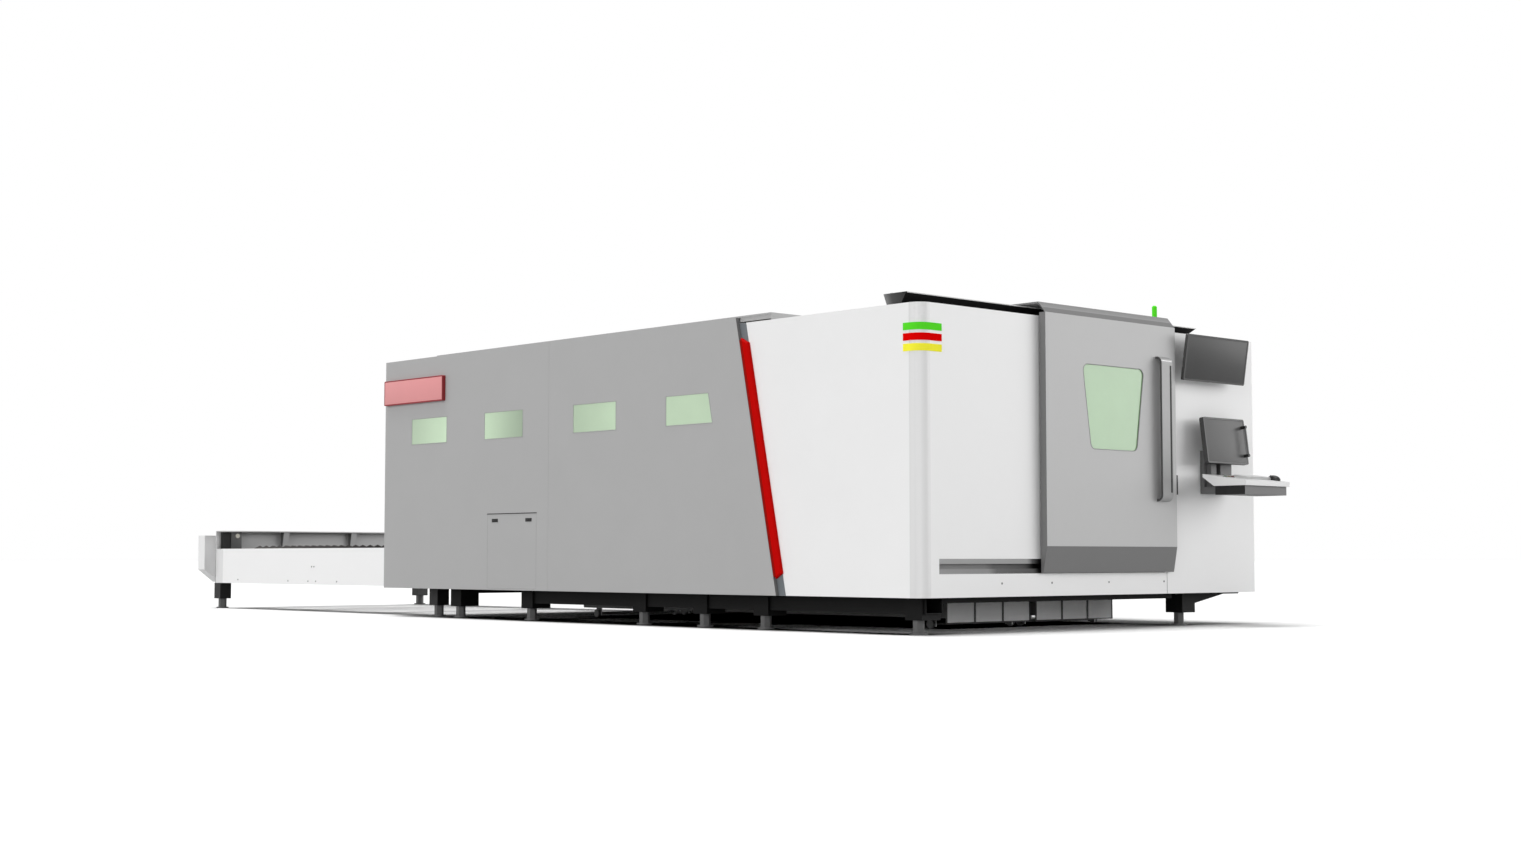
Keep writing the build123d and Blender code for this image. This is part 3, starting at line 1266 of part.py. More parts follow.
GANTRY_X = back(GANTRY_BACK)
SADDLE_BASE = BEAM_TOP + SADDLE_LIP
with BuildPart() as gantry_beam:
    with BuildSketch(side_plane(across(BEAM_NEAR_Y) - SADDLE_WIDTH / 2)) as beam_section:
        with Locations((GANTRY_X, (GANTRY_BEAM_BASE + GANTRY_BEAM_TOP) / 2)):
            Rectangle(GANTRY_BEAM_WIDTH, GANTRY_BEAM_TOP - GANTRY_BEAM_BASE)
            Rectangle(
                GANTRY_BEAM_WIDTH - GANTRY_WALL - GANTRY_WALL,
                GANTRY_BEAM_TOP - GANTRY_BEAM_BASE - GANTRY_WALL - GANTRY_WALL,
                mode=Mode.SUBTRACT,
            )
    extrude(beam_section.sketch, amount=BEAM_NEAR_Y - BEAM_FAR_Y - SADDLE_WIDTH)
    for beam_y, beam_base in BEAM_ROWS:
        slab(
            (GANTRY_X - SADDLE_LENGTH / 2, GANTRY_X + SADDLE_LENGTH / 2),
            (beam_y - SADDLE_WIDTH / 2, beam_y + SADDLE_WIDTH / 2),
            (SADDLE_BASE, GANTRY_BEAM_BASE),
        )
        slab(
            (GANTRY_X - SADDLE_LENGTH, GANTRY_X + SADDLE_LENGTH),
            (beam_y - LINEAR_RAIL / 2 - RUN_GAP, beam_y + LINEAR_RAIL / 2 + RUN_GAP),
            (BEAM_TOP, RAIL_TOP + RUN_GAP),
            Mode.SUBTRACT,
        )
    for rail_z in (GANTRY_BEAM_BASE + Y_RAIL_INSET, GANTRY_BEAM_TOP - Y_RAIL_INSET):
        slab(
            (GANTRY_X + GANTRY_BEAM_WIDTH / 2, GANTRY_X + GANTRY_BEAM_WIDTH / 2 + Y_RAIL_DEPTH),
            (across(BEAM_NEAR_Y) + SADDLE_WIDTH / 2, across(BEAM_FAR_Y) - SADDLE_WIDTH / 2),
            (rail_z - Y_RAIL / 2, rail_z + Y_RAIL / 2),
        )
save("gantry_beam", gantry_beam.part)

with BuildPart() as gantry_drives:
    for beam_y, beam_base in BEAM_ROWS:
        drive_x = GANTRY_X - GANTRY_BEAM_WIDTH / 2 - DRIVE_FLANGE_RADIUS
        with Locations((drive_x, beam_y, GANTRY_BEAM_BASE)):
            Cylinder(DRIVE_FLANGE_RADIUS, DRIVE_FLANGE, align=(Align.CENTER, Align.CENTER, Align.MIN))
        with Locations((drive_x, beam_y, GANTRY_BEAM_BASE + DRIVE_FLANGE)):
            Cylinder(DRIVE_RADIUS, DRIVE_HEIGHT, align=(Align.CENTER, Align.CENTER, Align.MIN))
save("gantry_drives", gantry_drives.part)

# Head carriage on the gantry's front face, and the vertical slide with the cutting head
HEAD_MID = across(HEAD_Y)
Y_RAIL_FACE = GANTRY_X + GANTRY_BEAM_WIDTH / 2 + Y_RAIL_DEPTH
CARRIAGE_X = (Y_RAIL_FACE + RUN_GAP, Y_RAIL_FACE + RUN_GAP + CARRIAGE_THICK)
with BuildPart() as head_carriage:
    slab(
        CARRIAGE_X,
        (HEAD_MID - CARRIAGE_WIDTH / 2, HEAD_MID + CARRIAGE_WIDTH / 2),
        (GANTRY_BEAM_BASE, GANTRY_BEAM_TOP + CARRIAGE_RISE),
    )
    for rail_z in (GANTRY_BEAM_BASE + Y_RAIL_INSET, GANTRY_BEAM_TOP - Y_RAIL_INSET):
        slab(
            (GANTRY_X + GANTRY_BEAM_WIDTH / 2 + RUN_GAP, CARRIAGE_X[0]),
            (HEAD_MID - CARRIAGE_WIDTH / 2, HEAD_MID + CARRIAGE_WIDTH / 2),
            (rail_z - CARRIAGE_BLOCK / 2, rail_z + CARRIAGE_BLOCK / 2),
        )
        slab(
            (GANTRY_X + GANTRY_BEAM_WIDTH / 2, Y_RAIL_FACE + RUN_GAP),
            (HEAD_MID - CARRIAGE_WIDTH, HEAD_MID + CARRIAGE_WIDTH),
            (rail_z - Y_RAIL / 2 - RUN_GAP, rail_z + Y_RAIL / 2 + RUN_GAP),
            Mode.SUBTRACT,
        )
    for rail_side in (-1, 1):
        rail_y = HEAD_MID + rail_side * Z_RAIL_SPREAD / 2
        slab(
            (CARRIAGE_X[1], CARRIAGE_X[1] + Z_RAIL_DEPTH),
            (rail_y - Z_RAIL / 2, rail_y + Z_RAIL / 2),
            (GANTRY_BEAM_BASE, GANTRY_BEAM_TOP + CARRIAGE_RISE),
        )
save("head_carriage", head_carriage.part)

SLIDE_X = (CARRIAGE_X[1] + Z_RAIL_DEPTH + RUN_GAP, CARRIAGE_X[1] + Z_RAIL_DEPTH + RUN_GAP + SLIDE_THICK)
HEAD_X = SLIDE_X[1] + HEAD_RADIUS
HEAD_PLANE = Plane(origin=(HEAD_X, HEAD_MID, 0), x_dir=(1, 0, 0), z_dir=(0, -1, 0))
with BuildPart() as z_slide:
    slab(
        (CARRIAGE_X[1] + RUN_GAP, SLIDE_X[1]),
        (HEAD_MID - SLIDE_WIDTH / 2, HEAD_MID + SLIDE_WIDTH / 2),
        (SLIDE_BASE, SLIDE_BASE + SLIDE_HEIGHT),
    )
    for rail_side in (-1, 1):
        rail_y = HEAD_MID + rail_side * Z_RAIL_SPREAD / 2
        slab(
            (CARRIAGE_X[1], SLIDE_X[0]),
            (rail_y - Z_RAIL / 2 - RUN_GAP, rail_y + Z_RAIL / 2 + RUN_GAP),
            (SLIDE_BASE - OVERRUN, SLIDE_BASE + SLIDE_HEIGHT + OVERRUN),
            Mode.SUBTRACT,
        )
save("z_slide", z_slide.part)

with BuildPart() as cutting_head:
    with BuildSketch(HEAD_PLANE) as head_profile:
        with BuildLine():
            Polyline(
                (0, HEAD_FOOT),
                (NOZZLE_RADIUS, HEAD_FOOT),
                (HEAD_NECK_RADIUS, HEAD_TAPER),
                (HEAD_NECK_RADIUS, HEAD_STEP),
                (HEAD_RADIUS, HEAD_STEP + HEAD_CLAMP),
                (HEAD_RADIUS, HEAD_TOP),
                (0, HEAD_TOP),
                close=True,
            )
        make_face()
    revolve(head_profile.sketch, axis=Axis((HEAD_X, HEAD_MID, 0), (0, 0, 1)))
save("cutting_head", cutting_head.part)

with BuildPart() as nozzle:
    with BuildSketch(HEAD_PLANE) as tip_profile:
        with BuildLine():
            Polyline(
                (0, NOZZLE_BASE),
                (NOZZLE_TIP_RADIUS, NOZZLE_BASE),
                (NOZZLE_RADIUS, (NOZZLE_BASE + HEAD_FOOT) / 2),
                (NOZZLE_RADIUS, HEAD_FOOT),
                (0, HEAD_FOOT),
                close=True,
            )
        make_face()
    revolve(tip_profile.sketch, axis=Axis((HEAD_X, HEAD_MID, 0), (0, 0, 1)))
save("nozzle", nozzle.part)


# Scrap carts: open tubs with a panelled front, on two wheelsets each
def make_cart(name, far):
    """Write one cart's tub and its two axles, with its far side at a Y value."""
    cart_x = (back(CART_FRONT_BACK + CART_LENGTH), back(CART_FRONT_BACK))
    cart_y = (far - CART_WIDTH, far)
    axle_z = CART_WHEEL_RADIUS + CART_FLOOR_GAP
    axle_xs = {"rear": cart_x[0] + CART_AXLE_INSET, "front": cart_x[1] - CART_AXLE_INSET}
    with BuildPart() as tub:
        slab(cart_x, cart_y, (CART_BASE + CART_WHEEL_RADIUS, CART_TOP))
        offset(amount=-CART_SHEET, openings=tub.faces().sort_by(Axis.Z)[-1], kind=Kind.INTERSECTION)
        slab((cart_x[1], cart_x[1] + CART_RIB), cart_y, (CART_BASE - CART_RIB, CART_TOP))
        bay = CART_WIDTH / CART_BAYS
        for number in range(CART_BAYS):
            slab(
                (cart_x[1] + CART_RIB / 2, cart_x[1] + CART_RIB),
                (cart_y[0] + number * bay + CART_RIB, cart_y[0] + (number + 1) * bay - CART_RIB),
                (CART_BASE, CART_TOP - CART_RIB),
                Mode.SUBTRACT,
            )
        for axle_x in axle_xs.values():
            for ear_y in (cart_y[0] + CART_WHEEL_INSET, cart_y[1] - CART_WHEEL_INSET - CART_EAR):
                slab(
                    (axle_x - CART_WHEEL_RADIUS, axle_x + CART_WHEEL_RADIUS),
                    (ear_y, ear_y + CART_EAR),
                    (axle_z - CART_AXLE_RADIUS - CART_EAR, CART_BASE + CART_WHEEL_RADIUS),
                )
            rod(
                (axle_x, cart_y[0] - OVERRUN, axle_z),
                (0, 1, 0),
                CART_AXLE_RADIUS + BORE_GAP,
                CART_WIDTH + OVERRUN + OVERRUN,
                Mode.SUBTRACT,
            )
    save(name, tub.part)
    wheel_near = cart_y[0] + CART_WHEEL_INSET - RUN_GAP - CART_WHEEL_WIDTH
    wheel_far = cart_y[1] - CART_WHEEL_INSET + RUN_GAP
    for end, axle_x in axle_xs.items():
        with BuildPart() as wheelset:
            rod(
                (axle_x, wheel_near, axle_z),
                (0, 1, 0),
                CART_AXLE_RADIUS,
                wheel_far + CART_WHEEL_WIDTH - wheel_near,
            )
            for wheel_y in (wheel_near, wheel_far):
                rod((axle_x, wheel_y, axle_z), (0, 1, 0), CART_WHEEL_RADIUS, CART_WHEEL_WIDTH)
        save(name + "_" + end + "_wheels", wheelset.part)


make_cart("scrap_cart_far", across(CART_FAR))
make_cart("scrap_cart_near", across(CART_FAR - CART_WIDTH - CART_GAP))


# Screens that tilt on a pin through two ears
def screen_panel(foot, lean, width, height, thickness):
    """A screen plane with its origin at the foot's middle: a housing with a sunk glass."""
    face = Plane(origin=foot, x_dir=(0, 1, 0), z_dir=(height, 0, -lean))
    tall = (height * height + lean * lean) ** 0.5
    with BuildSketch(face) as housing:
        with Locations((0, tall / 2)):
            RectangleRounded(width, tall, MONITOR_BEZEL)
    extrude(housing.sketch, amount=-thickness)
    with BuildSketch(face) as glass:
        with Locations((0, tall / 2)):
            Rectangle(width - MONITOR_BEZEL - MONITOR_BEZEL, tall - MONITOR_BEZEL - MONITOR_BEZEL)
    extrude(glass.sketch, amount=-MONITOR_GLASS_DROP, mode=Mode.SUBTRACT)


def pin_ears(pin, reach):
    """Two ears from a screen's back to a pin, with a running bore."""
    for side in (-1, 1):
        ear_y = pin[1] + side * EAR_SPREAD / 2
        slab(
            (pin[0], pin[0] + reach),
            (ear_y - EAR_WIDTH / 2, ear_y + EAR_WIDTH / 2),
            (pin[2] - EAR_RADIUS, pin[2] + EAR_RADIUS),
        )
        rod((pin[0], ear_y - EAR_WIDTH / 2, pin[2]), (0, 1, 0), EAR_RADIUS, EAR_WIDTH)
    rod(
        (pin[0], pin[1] - EAR_SPREAD, pin[2]),
        (0, 1, 0),
        PIN_RADIUS + BORE_GAP,
        EAR_SPREAD + EAR_SPREAD,
        Mode.SUBTRACT,
    )


MONITOR_MID_Z = (MONITOR_BASE + MONITOR_TOP) / 2
MONITOR_PIN = (
    FRONT_X + MONITOR_FOOT_PROUD + MONITOR_LEAN / 2 - MONITOR_THICK - PIN_OFFSET,
    across(MONITOR_Y),
    MONITOR_MID_Z,
)
with BuildPart() as monitor:
    screen_panel(
        (FRONT_X + MONITOR_FOOT_PROUD, across(MONITOR_Y), MONITOR_BASE),
        MONITOR_LEAN,
        MONITOR_WIDTH,
        MONITOR_TOP - MONITOR_BASE,
        MONITOR_THICK,
    )
    pin_ears(MONITOR_PIN, PIN_OFFSET + EAR_WIDTH)
save("monitor", monitor.part)

SCREEN_MID = across(SCREEN_NEAR + SCREEN_WIDTH / 2)
SCREEN_PIN = (
    FRONT_X + SCREEN_FOOT_PROUD - SCREEN_THICK - PIN_OFFSET,
    SCREEN_MID,
    SCREEN_BASE + PIN_OFFSET + PIN_OFFSET,
)
with BuildPart() as operator_screen:
    screen_panel(
        (FRONT_X + SCREEN_FOOT_PROUD, SCREEN_MID, SCREEN_BASE),
        -SCREEN_LEAN,
        SCREEN_WIDTH,
        SCREEN_TOP - SCREEN_BASE,
        SCREEN_THICK,
    )
    pin_ears(SCREEN_PIN, PIN_OFFSET + EAR_WIDTH)
save("operator_screen", operator_screen.part)

# Pull grip on the operator screen: a bar on two round feet
screen_tall = ((SCREEN_TOP - SCREEN_BASE) ** 2 + SCREEN_LEAN**2) ** 0.5
SCREEN_FACE = Plane(
    origin=(FRONT_X + SCREEN_FOOT_PROUD, SCREEN_MID, SCREEN_BASE),
    x_dir=(0, 1, 0),
    z_dir=(SCREEN_TOP - SCREEN_BASE, 0, SCREEN_LEAN),
)
with BuildPart() as screen_grip:
    grip_x = SCREEN_WIDTH / 2 - GRIP_INSET
    with BuildSketch(SCREEN_FACE.offset(-MONITOR_GLASS_DROP)) as grip_feet:
        with Locations(
            (grip_x - MONITOR_BEZEL, screen_tall / 2 - GRIP_LENGTH / 2),
            (grip_x - MONITOR_BEZEL, screen_tall / 2 + GRIP_LENGTH / 2),
        ):
            Circle(GRIP_FOOT_RADIUS)
    extrude(grip_feet.sketch, amount=GRIP_PROUD)
    bar_start = SCREEN_FACE.from_local_coords(
        (grip_x - MONITOR_BEZEL, screen_tall / 2 - GRIP_LENGTH / 2, GRIP_PROUD - GRIP_FOOT_RADIUS)
    )
    rod(bar_start, SCREEN_FACE.y_dir, GRIP_RADIUS, GRIP_LENGTH)
save("screen_grip", screen_grip.part)

# Brackets on the white front: the monitor's arm, and the console's plate, box and neck
with BuildPart() as wall_brackets:
    slab(
        (FRONT_X, FRONT_X + WALL_PLATE),
        (across(MONITOR_Y) - WALL_PLATE_SIZE / 2, across(MONITOR_Y) + WALL_PLATE_SIZE / 2),
        (MONITOR_MID_Z - WALL_PLATE_SIZE / 2, MONITOR_MID_Z + WALL_PLATE_SIZE / 2),
    )
    arm_half = EAR_SPREAD / 2 - EAR_WIDTH / 2 - RUN_GAP
    slab(
        (FRONT_X + WALL_PLATE, MONITOR_PIN[0] + PIN_RADIUS),
        (MONITOR_PIN[1] - arm_half, MONITOR_PIN[1] + arm_half),
        (MONITOR_MID_Z - ARM_THICK / 2, MONITOR_MID_Z + ARM_THICK / 2),
    )
    rod(
        (MONITOR_PIN[0], MONITOR_PIN[1] - EAR_SPREAD / 2 - EAR_WIDTH, MONITOR_PIN[2]),
        (0, 1, 0),
        PIN_RADIUS,
        EAR_SPREAD + EAR_WIDTH + EAR_WIDTH,
    )
    bracket_y = (across(BRACKET_NEAR), across(BRACKET_NEAR + BRACKET_WIDTH))
    slab((FRONT_X, FRONT_X + BRACKET_PLATE), bracket_y, (BRACKET_BASE, BRACKET_TOP))
    slab(
        (FRONT_X + BRACKET_PLATE, FRONT_X + TRAY_FOOT_PROUD),
        bracket_y,
        (BRACKET_BASE, TRAY_FOOT),
    )
    console_far = CONSOLE_NEAR + CONSOLE_WIDTH
    slab(
        (FRONT_X + TRAY_FOOT_PROUD, FRONT_X + TRAY_REACH - CONSOLE_BOX_INSET),
        (across(CONSOLE_NEAR + CONSOLE_BOX_INSET), across(console_far - CONSOLE_BOX_INSET)),
        (CONSOLE_BOX_BASE, TRAY_FOOT),
    )
    neck_y = (SCREEN_MID - arm_half, SCREEN_MID + arm_half)
    arm_z = (SCREEN_PIN[2] - PIN_RADIUS - ARM_THICK, SCREEN_PIN[2] - PIN_RADIUS)
    arm_x = SCREEN_PIN[0] - EAR_RADIUS - RUN_GAP
    slab((FRONT_X + BRACKET_PLATE, arm_x), bracket_y, arm_z)
    slab((arm_x, SCREEN_PIN[0] + PIN_RADIUS), neck_y, (arm_z[0], SCREEN_PIN[2] + PIN_RADIUS))
    for neck_inset, neck_width in zip(NECK_INSETS, NECK_WIDTHS):
        slab(
            (FRONT_X + BRACKET_PLATE, FRONT_X + BRACKET_PLATE + NECK_THICK),
            (bracket_y[0] + neck_inset, bracket_y[0] + neck_inset + neck_width),
            (TRAY_FOOT, arm_z[0]),
        )
    rod(
        (SCREEN_PIN[0], SCREEN_PIN[1] - EAR_SPREAD / 2 - EAR_WIDTH, SCREEN_PIN[2]),
        (0, 1, 0),
        PIN_RADIUS,
        EAR_SPREAD + EAR_WIDTH + EAR_WIDTH,
    )
save("wall_brackets", wall_brackets.part)

# Keyboard tray: a wedge that falls towards the operator, with sockets for three buttons
TRAY_X = (FRONT_X + TRAY_BACK_PROUD, FRONT_X + TRAY_REACH)
TRAY_Y = (across(CONSOLE_NEAR), across(CONSOLE_NEAR + CONSOLE_WIDTH))
tray_run = TRAY_REACH - TRAY_BACK_PROUD
tray_fall = TRAY_BACK_TOP - TRAY_FRONT_TOP
TRAY_TOP = Plane(
    origin=(TRAY_X[1], TRAY_Y[0], TRAY_FRONT_TOP),
    x_dir=(0, 1, 0),
    z_dir=(tray_fall, 0, tray_run),
)
tray_slope = (tray_run**2 + tray_fall**2) ** 0.5
BUTTON_NAMES = ("start_button", "pause_button", "stop_button")
BUTTON_SPOTS = [
    (BUTTON_FIRST + number * BUTTON_PITCH, BUTTON_ALONG_SHARE * tray_slope)
    for number in range(len(BUTTON_NAMES))
]
with BuildPart() as keyboard_tray:
    prism(
        side_plane(TRAY_Y[0]),
        [
            (TRAY_X[0], TRAY_BACK_TOP),
            (TRAY_X[0], TRAY_BACK_FOOT),
            (FRONT_X + TRAY_FOOT_PROUD, TRAY_FOOT),
            (TRAY_X[1], TRAY_FOOT),
            (TRAY_X[1], TRAY_FRONT_TOP),
        ],
        -CONSOLE_WIDTH,
    )
    fillet(keyboard_tray.edges().filter_by(Axis.Z), radius=TRAY_EDGE)
    with BuildSketch(TRAY_TOP) as sockets:
        with Locations(*BUTTON_SPOTS):
            Circle(BUTTON_RADIUS + BUTTON_GAP)
    extrude(sockets.sketch, amount=-BUTTON_SOCKET, mode=Mode.SUBTRACT)
save("keyboard_tray", keyboard_tray.part)

for name, spot in zip(BUTTON_NAMES, BUTTON_SPOTS):
    with BuildPart() as button:
        with BuildSketch(TRAY_TOP.offset(BUTTON_PROUD)) as cap:
            with Locations(spot):
                Circle(BUTTON_RADIUS)
        extrude(cap.sketch, amount=-BUTTON_PROUD - BUTTON_SOCKET / 2)
    save(name, button.part)

with BuildPart() as keyboard:
    with BuildSketch(TRAY_TOP) as keys:
        with Locations(
            (KEYBOARD_INSET + KEYBOARD_WIDTH / 2, KEYBOARD_FRONT_SHARE * tray_slope + KEYBOARD_DEPTH / 2)
        ):
            RectangleRounded(KEYBOARD_WIDTH, KEYBOARD_DEPTH, TRAY_EDGE)
    extrude(keys.sketch, amount=KEYBOARD_THICK)
save("keyboard", keyboard.part)
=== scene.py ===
"""Looks of the laser cutting machine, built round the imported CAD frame. Lengths are metres."""

from collections import defaultdict
from math import cos, pi, radians, sin

import bmesh
import bpy
from mathutils import Matrix, Vector


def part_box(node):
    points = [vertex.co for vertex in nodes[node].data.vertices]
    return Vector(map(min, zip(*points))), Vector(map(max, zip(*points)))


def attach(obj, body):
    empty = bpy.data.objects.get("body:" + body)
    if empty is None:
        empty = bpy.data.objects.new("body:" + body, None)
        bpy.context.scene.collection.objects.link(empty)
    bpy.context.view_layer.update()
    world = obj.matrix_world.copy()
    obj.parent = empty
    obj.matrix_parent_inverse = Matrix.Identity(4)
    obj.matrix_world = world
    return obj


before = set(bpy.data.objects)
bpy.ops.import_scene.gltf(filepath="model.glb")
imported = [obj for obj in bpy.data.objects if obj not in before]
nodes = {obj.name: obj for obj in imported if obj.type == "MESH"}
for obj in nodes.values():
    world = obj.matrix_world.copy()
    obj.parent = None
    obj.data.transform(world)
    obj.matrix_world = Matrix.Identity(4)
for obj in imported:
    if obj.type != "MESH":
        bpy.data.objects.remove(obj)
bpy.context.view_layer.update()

# Camera, fitted to the photograph
CAMERA_PLACE = (12.6393, -10.6307, 0.470)
CAMERA_PITCH = radians(93.525)
CAMERA_HEADING = radians(47.42)
CAMERA_LENS = 48.11
CAMERA_SENSOR = 36.0
CAMERA_REACH = 1000.0

# Light and floor
SKY_STRENGTH = 0.25
SUN_STRENGTH = 2.30
SUN_SPREAD = radians(30)
SUN_TILT = (radians(6), radians(-8), 0)
SIDE_FILL = 2.32
SIDE_FILL_SPREAD = radians(60)
SIDE_FILL_TURN = (radians(85), 0, radians(5))
FRONT_FILL = 2.44
FRONT_FILL_SPREAD = radians(60)
FRONT_FILL_TURN = (radians(86), 0, radians(137))
FLOOR_SIZE = 400.0
FLOOR_BOUNCE = 0.45
FLOOR_SEEN = 0.98
SHADE_REACH = 0.60
SHADE_FROM = 0.38
SHADE_TO = 0.62

# Small fasteners and seals
SCREW_RADIUS = 0.007
SCREW_SEGMENTS = 12
SEAL_RADIUS = 0.0025
SEAL_SEGMENTS = 8
EDGE = 0.0008

# Axes and directions
X_AXIS, Y_AXIS, Z_AXIS = range(3)
AHEAD = (1, 0, 0)
BEHIND = (-1, 0, 0)
ACROSS = (0, 1, 0)
NEAR = (0, -1, 0)

# Screws seen on the white sheets
APRON_SCREW_Z = 0.308
APRON_SCREW_Y = (-0.995, -0.511, 0.072, 0.669)
TABLE_SCREWS = (
    (-3.017, 0.388),
    (-2.978, 0.388),
    (-4.325, 0.266),
    (-3.420, 0.262),
    (-3.076, 0.262),
    (-2.946, 0.262),
    (-2.599, 0.262),
)

# Operator console
TRAY_LIP = 0.032
KEY_ROWS = 5
KEY_COLUMNS = 15
KEY_GAP = 0.0026
KEY_HEIGHT = 0.0045
KEY_BORDER = 0.007
KEY_BEVEL = 0.0015
MOUSE_AT = (0.482, 0.098)
MOUSE_SIZE = (0.056, 0.100, 0.034)
MOUSE_SEGMENTS = (28, 16)
MOUSE_SINK = 0.18
MOUSE_WAIST = 0.10
MOUSE_WHEEL_AT = (0.28, 0.76)
MOUSE_WHEEL_RADIUS = 0.006
MOUSE_WHEEL_BORE = 0.002
MOUSE_WHEEL_WIDTH = 0.006
STRIKE_SIZE = (0.042, 0.028, 0.133)
STRIKE_GAP = 0.015
STRIKE_BASE = 0.893
STRIKE_BEVEL = 0.004

# Table end
DOT_RADIUS = 0.021
DOT_AT = (-1.376, 0.668)


def linear(level):
    """A display value of 0 to 255 as linear light."""
    share = level / 255
    return share / 12.92 if share <= 0.04045 else ((share + 0.055) / 1.055) ** 2.4


def tint(red, green, blue):
    """A display colour as linear RGBA."""
    return (linear(red), linear(green), linear(blue), 1.0)


def grey(level):
    """A neutral display colour."""
    return tint(level, level, level)


# Materials

COAT_ROUGHNESS = 0.12
LEAST_ROUGHNESS = 0.02
MOTTLE_SPAN = (0.3, 0.7)
MOTTLE_NOISE = {"Detail": 5.0, "Roughness": 0.6}
GRAIN_NOISE = {"Detail": 3.0, "Roughness": 0.55}
GRAIN_DEPTH = 0.001
SHEET_CLARITY = 0.10


def add_node(tree, kind, **values):
    """A shader node with some of its inputs or settings filled in."""
    node = tree.nodes.new(kind)
    for key, value in values.items():
        if key in node.inputs:
            node.inputs[key].default_value = value
        else:
            setattr(node, key, value)
    return node


def surface(name, colour, roughness, metallic=0.0, coat=0.0, mottle=0.03, mottle_scale=2.5,
            grain=0.06, grain_scale=420.0, stretch=(1, 1, 1), rough_spread=0.07, specular=0.4):
    """A painted, moulded or brushed surface: soft mottling, uneven gloss and a fine grain."""
    material = bpy.data.materials.new(name)
    material.use_nodes = True
    tree = material.node_tree
    shader = tree.nodes["Principled BSDF"]
    shader.inputs["Metallic"].default_value = metallic
    shader.inputs["Coat Weight"].default_value = coat
    shader.inputs["Coat Roughness"].default_value = COAT_ROUGHNESS
    shader.inputs["Specular IOR Level"].default_value = specular
    place = add_node(tree, "ShaderNodeTexCoord")
    squeeze = add_node(tree, "ShaderNodeMapping", Scale=stretch)
    tree.links.new(place.outputs["Object"], squeeze.inputs["Vector"])

    cloud = add_node(tree, "ShaderNodeTexNoise", Scale=mottle_scale, **MOTTLE_NOISE)
    tree.links.new(squeeze.outputs["Vector"], cloud.inputs["Vector"])
    tone = add_node(tree, "ShaderNodeValToRGB")
    darker, lighter = tone.color_ramp.elements
    darker.position, lighter.position = MOTTLE_SPAN
    darker.color = [c * (1 - mottle) for c in colour[:3]] + [1]
    lighter.color = [min(1, c * (1 + mottle)) for c in colour[:3]] + [1]
    tree.links.new(cloud.outputs["Fac"], tone.inputs["Fac"])
    tree.links.new(tone.outputs["Color"], shader.inputs["Base Color"])

    gloss = add_node(tree, "ShaderNodeMapRange")
    gloss.inputs["To Min"].default_value = max(LEAST_ROUGHNESS, roughness - rough_spread)
    gloss.inputs["To Max"].default_value = min(1, roughness + rough_spread)
    tree.links.new(cloud.outputs["Fac"], gloss.inputs["Value"])
    tree.links.new(gloss.outputs["Result"], shader.inputs["Roughness"])

    fine = add_node(tree, "ShaderNodeTexNoise", Scale=grain_scale, **GRAIN_NOISE)
    tree.links.new(squeeze.outputs["Vector"], fine.inputs["Vector"])
    relief = add_node(tree, "ShaderNodeBump", Strength=grain, Distance=GRAIN_DEPTH)
    tree.links.new(fine.outputs["Fac"], relief.inputs["Height"])
    tree.links.new(relief.outputs["Normal"], shader.inputs["Normal"])
    return material


def brushed(name, colour, roughness, stretch):
    """Bare metal brushed along one axis."""
    return surface(name, colour, roughness, metallic=1.0, mottle=0.12, mottle_scale=30.0,
                   grain=0.16, grain_scale=160.0, stretch=stretch, rough_spread=0.10, specular=0.5)


def moulded(name, colour, roughness=0.46):
    """Textured moulded plastic or rubber."""
    return surface(name, colour, roughness, mottle=0.06, mottle_scale=14.0, grain=0.12, grain_scale=900.0)


def lens(name, colour, glow):
    """Moulded lens plastic with a little light of its own."""
    material = surface(name, colour, 0.40, mottle=0.05, mottle_scale=9.0, grain=0.03, specular=0.0)
    shader = material.node_tree.nodes["Principled BSDF"]
    shader.inputs["Emission Color"].default_value = colour
    shader.inputs["Emission Strength"].default_value = glow
    return material


def safety_sheet(name, colour):
    """Tinted laser-safety sheet: milky and glossy, with a soft cloudiness."""
    material = surface(name, colour, 0.18, coat=0.3, mottle=0.05, mottle_scale=1.6,
                       grain=0.02, grain_scale=60.0)
    shader = material.node_tree.nodes["Principled BSDF"]
    shader.inputs["Transmission Weight"].default_value = SHEET_CLARITY
    return material


def grade(material, axis, stops):
    """Lighten or darken a material along one axis: stops are places in metres and shares."""
    tree = material.node_tree
    target = tree.nodes["Principled BSDF"].inputs["Base Color"]
    colour = target.links[0].from_socket
    start, end = stops[0][0], stops[-1][0]
    top = max(share for place, share in stops)
    place = add_node(tree, "ShaderNodeTexCoord")
    split = add_node(tree, "ShaderNodeSeparateXYZ")
    along = add_node(tree, "ShaderNodeMapRange")
    along.inputs["From Min"].default_value = start
    along.inputs["From Max"].default_value = end
    ramp = add_node(tree, "ShaderNodeValToRGB")
    band = ramp.color_ramp.elements
    while len(band) < len(stops):
        band.new(0.5)
    for element, (spot, share) in zip(band, stops):
        element.position = (spot - start) / (end - start)
        element.color = (share / top,) * 3 + (1,)
    lift = add_node(tree, "ShaderNodeVectorMath", operation="SCALE", Scale=top)
    blend = add_node(tree, "ShaderNodeVectorMath", operation="MULTIPLY")
    tree.links.new(place.outputs["Object"], split.inputs["Vector"])
    tree.links.new(split.outputs[axis], along.inputs["Value"])
    tree.links.new(along.outputs["Result"], ramp.inputs["Fac"])
    tree.links.new(ramp.outputs["Color"], lift.inputs[0])
    tree.links.new(colour, blend.inputs[0])
    tree.links.new(lift.outputs[0], blend.inputs[1])
    tree.links.new(blend.outputs[0], target)


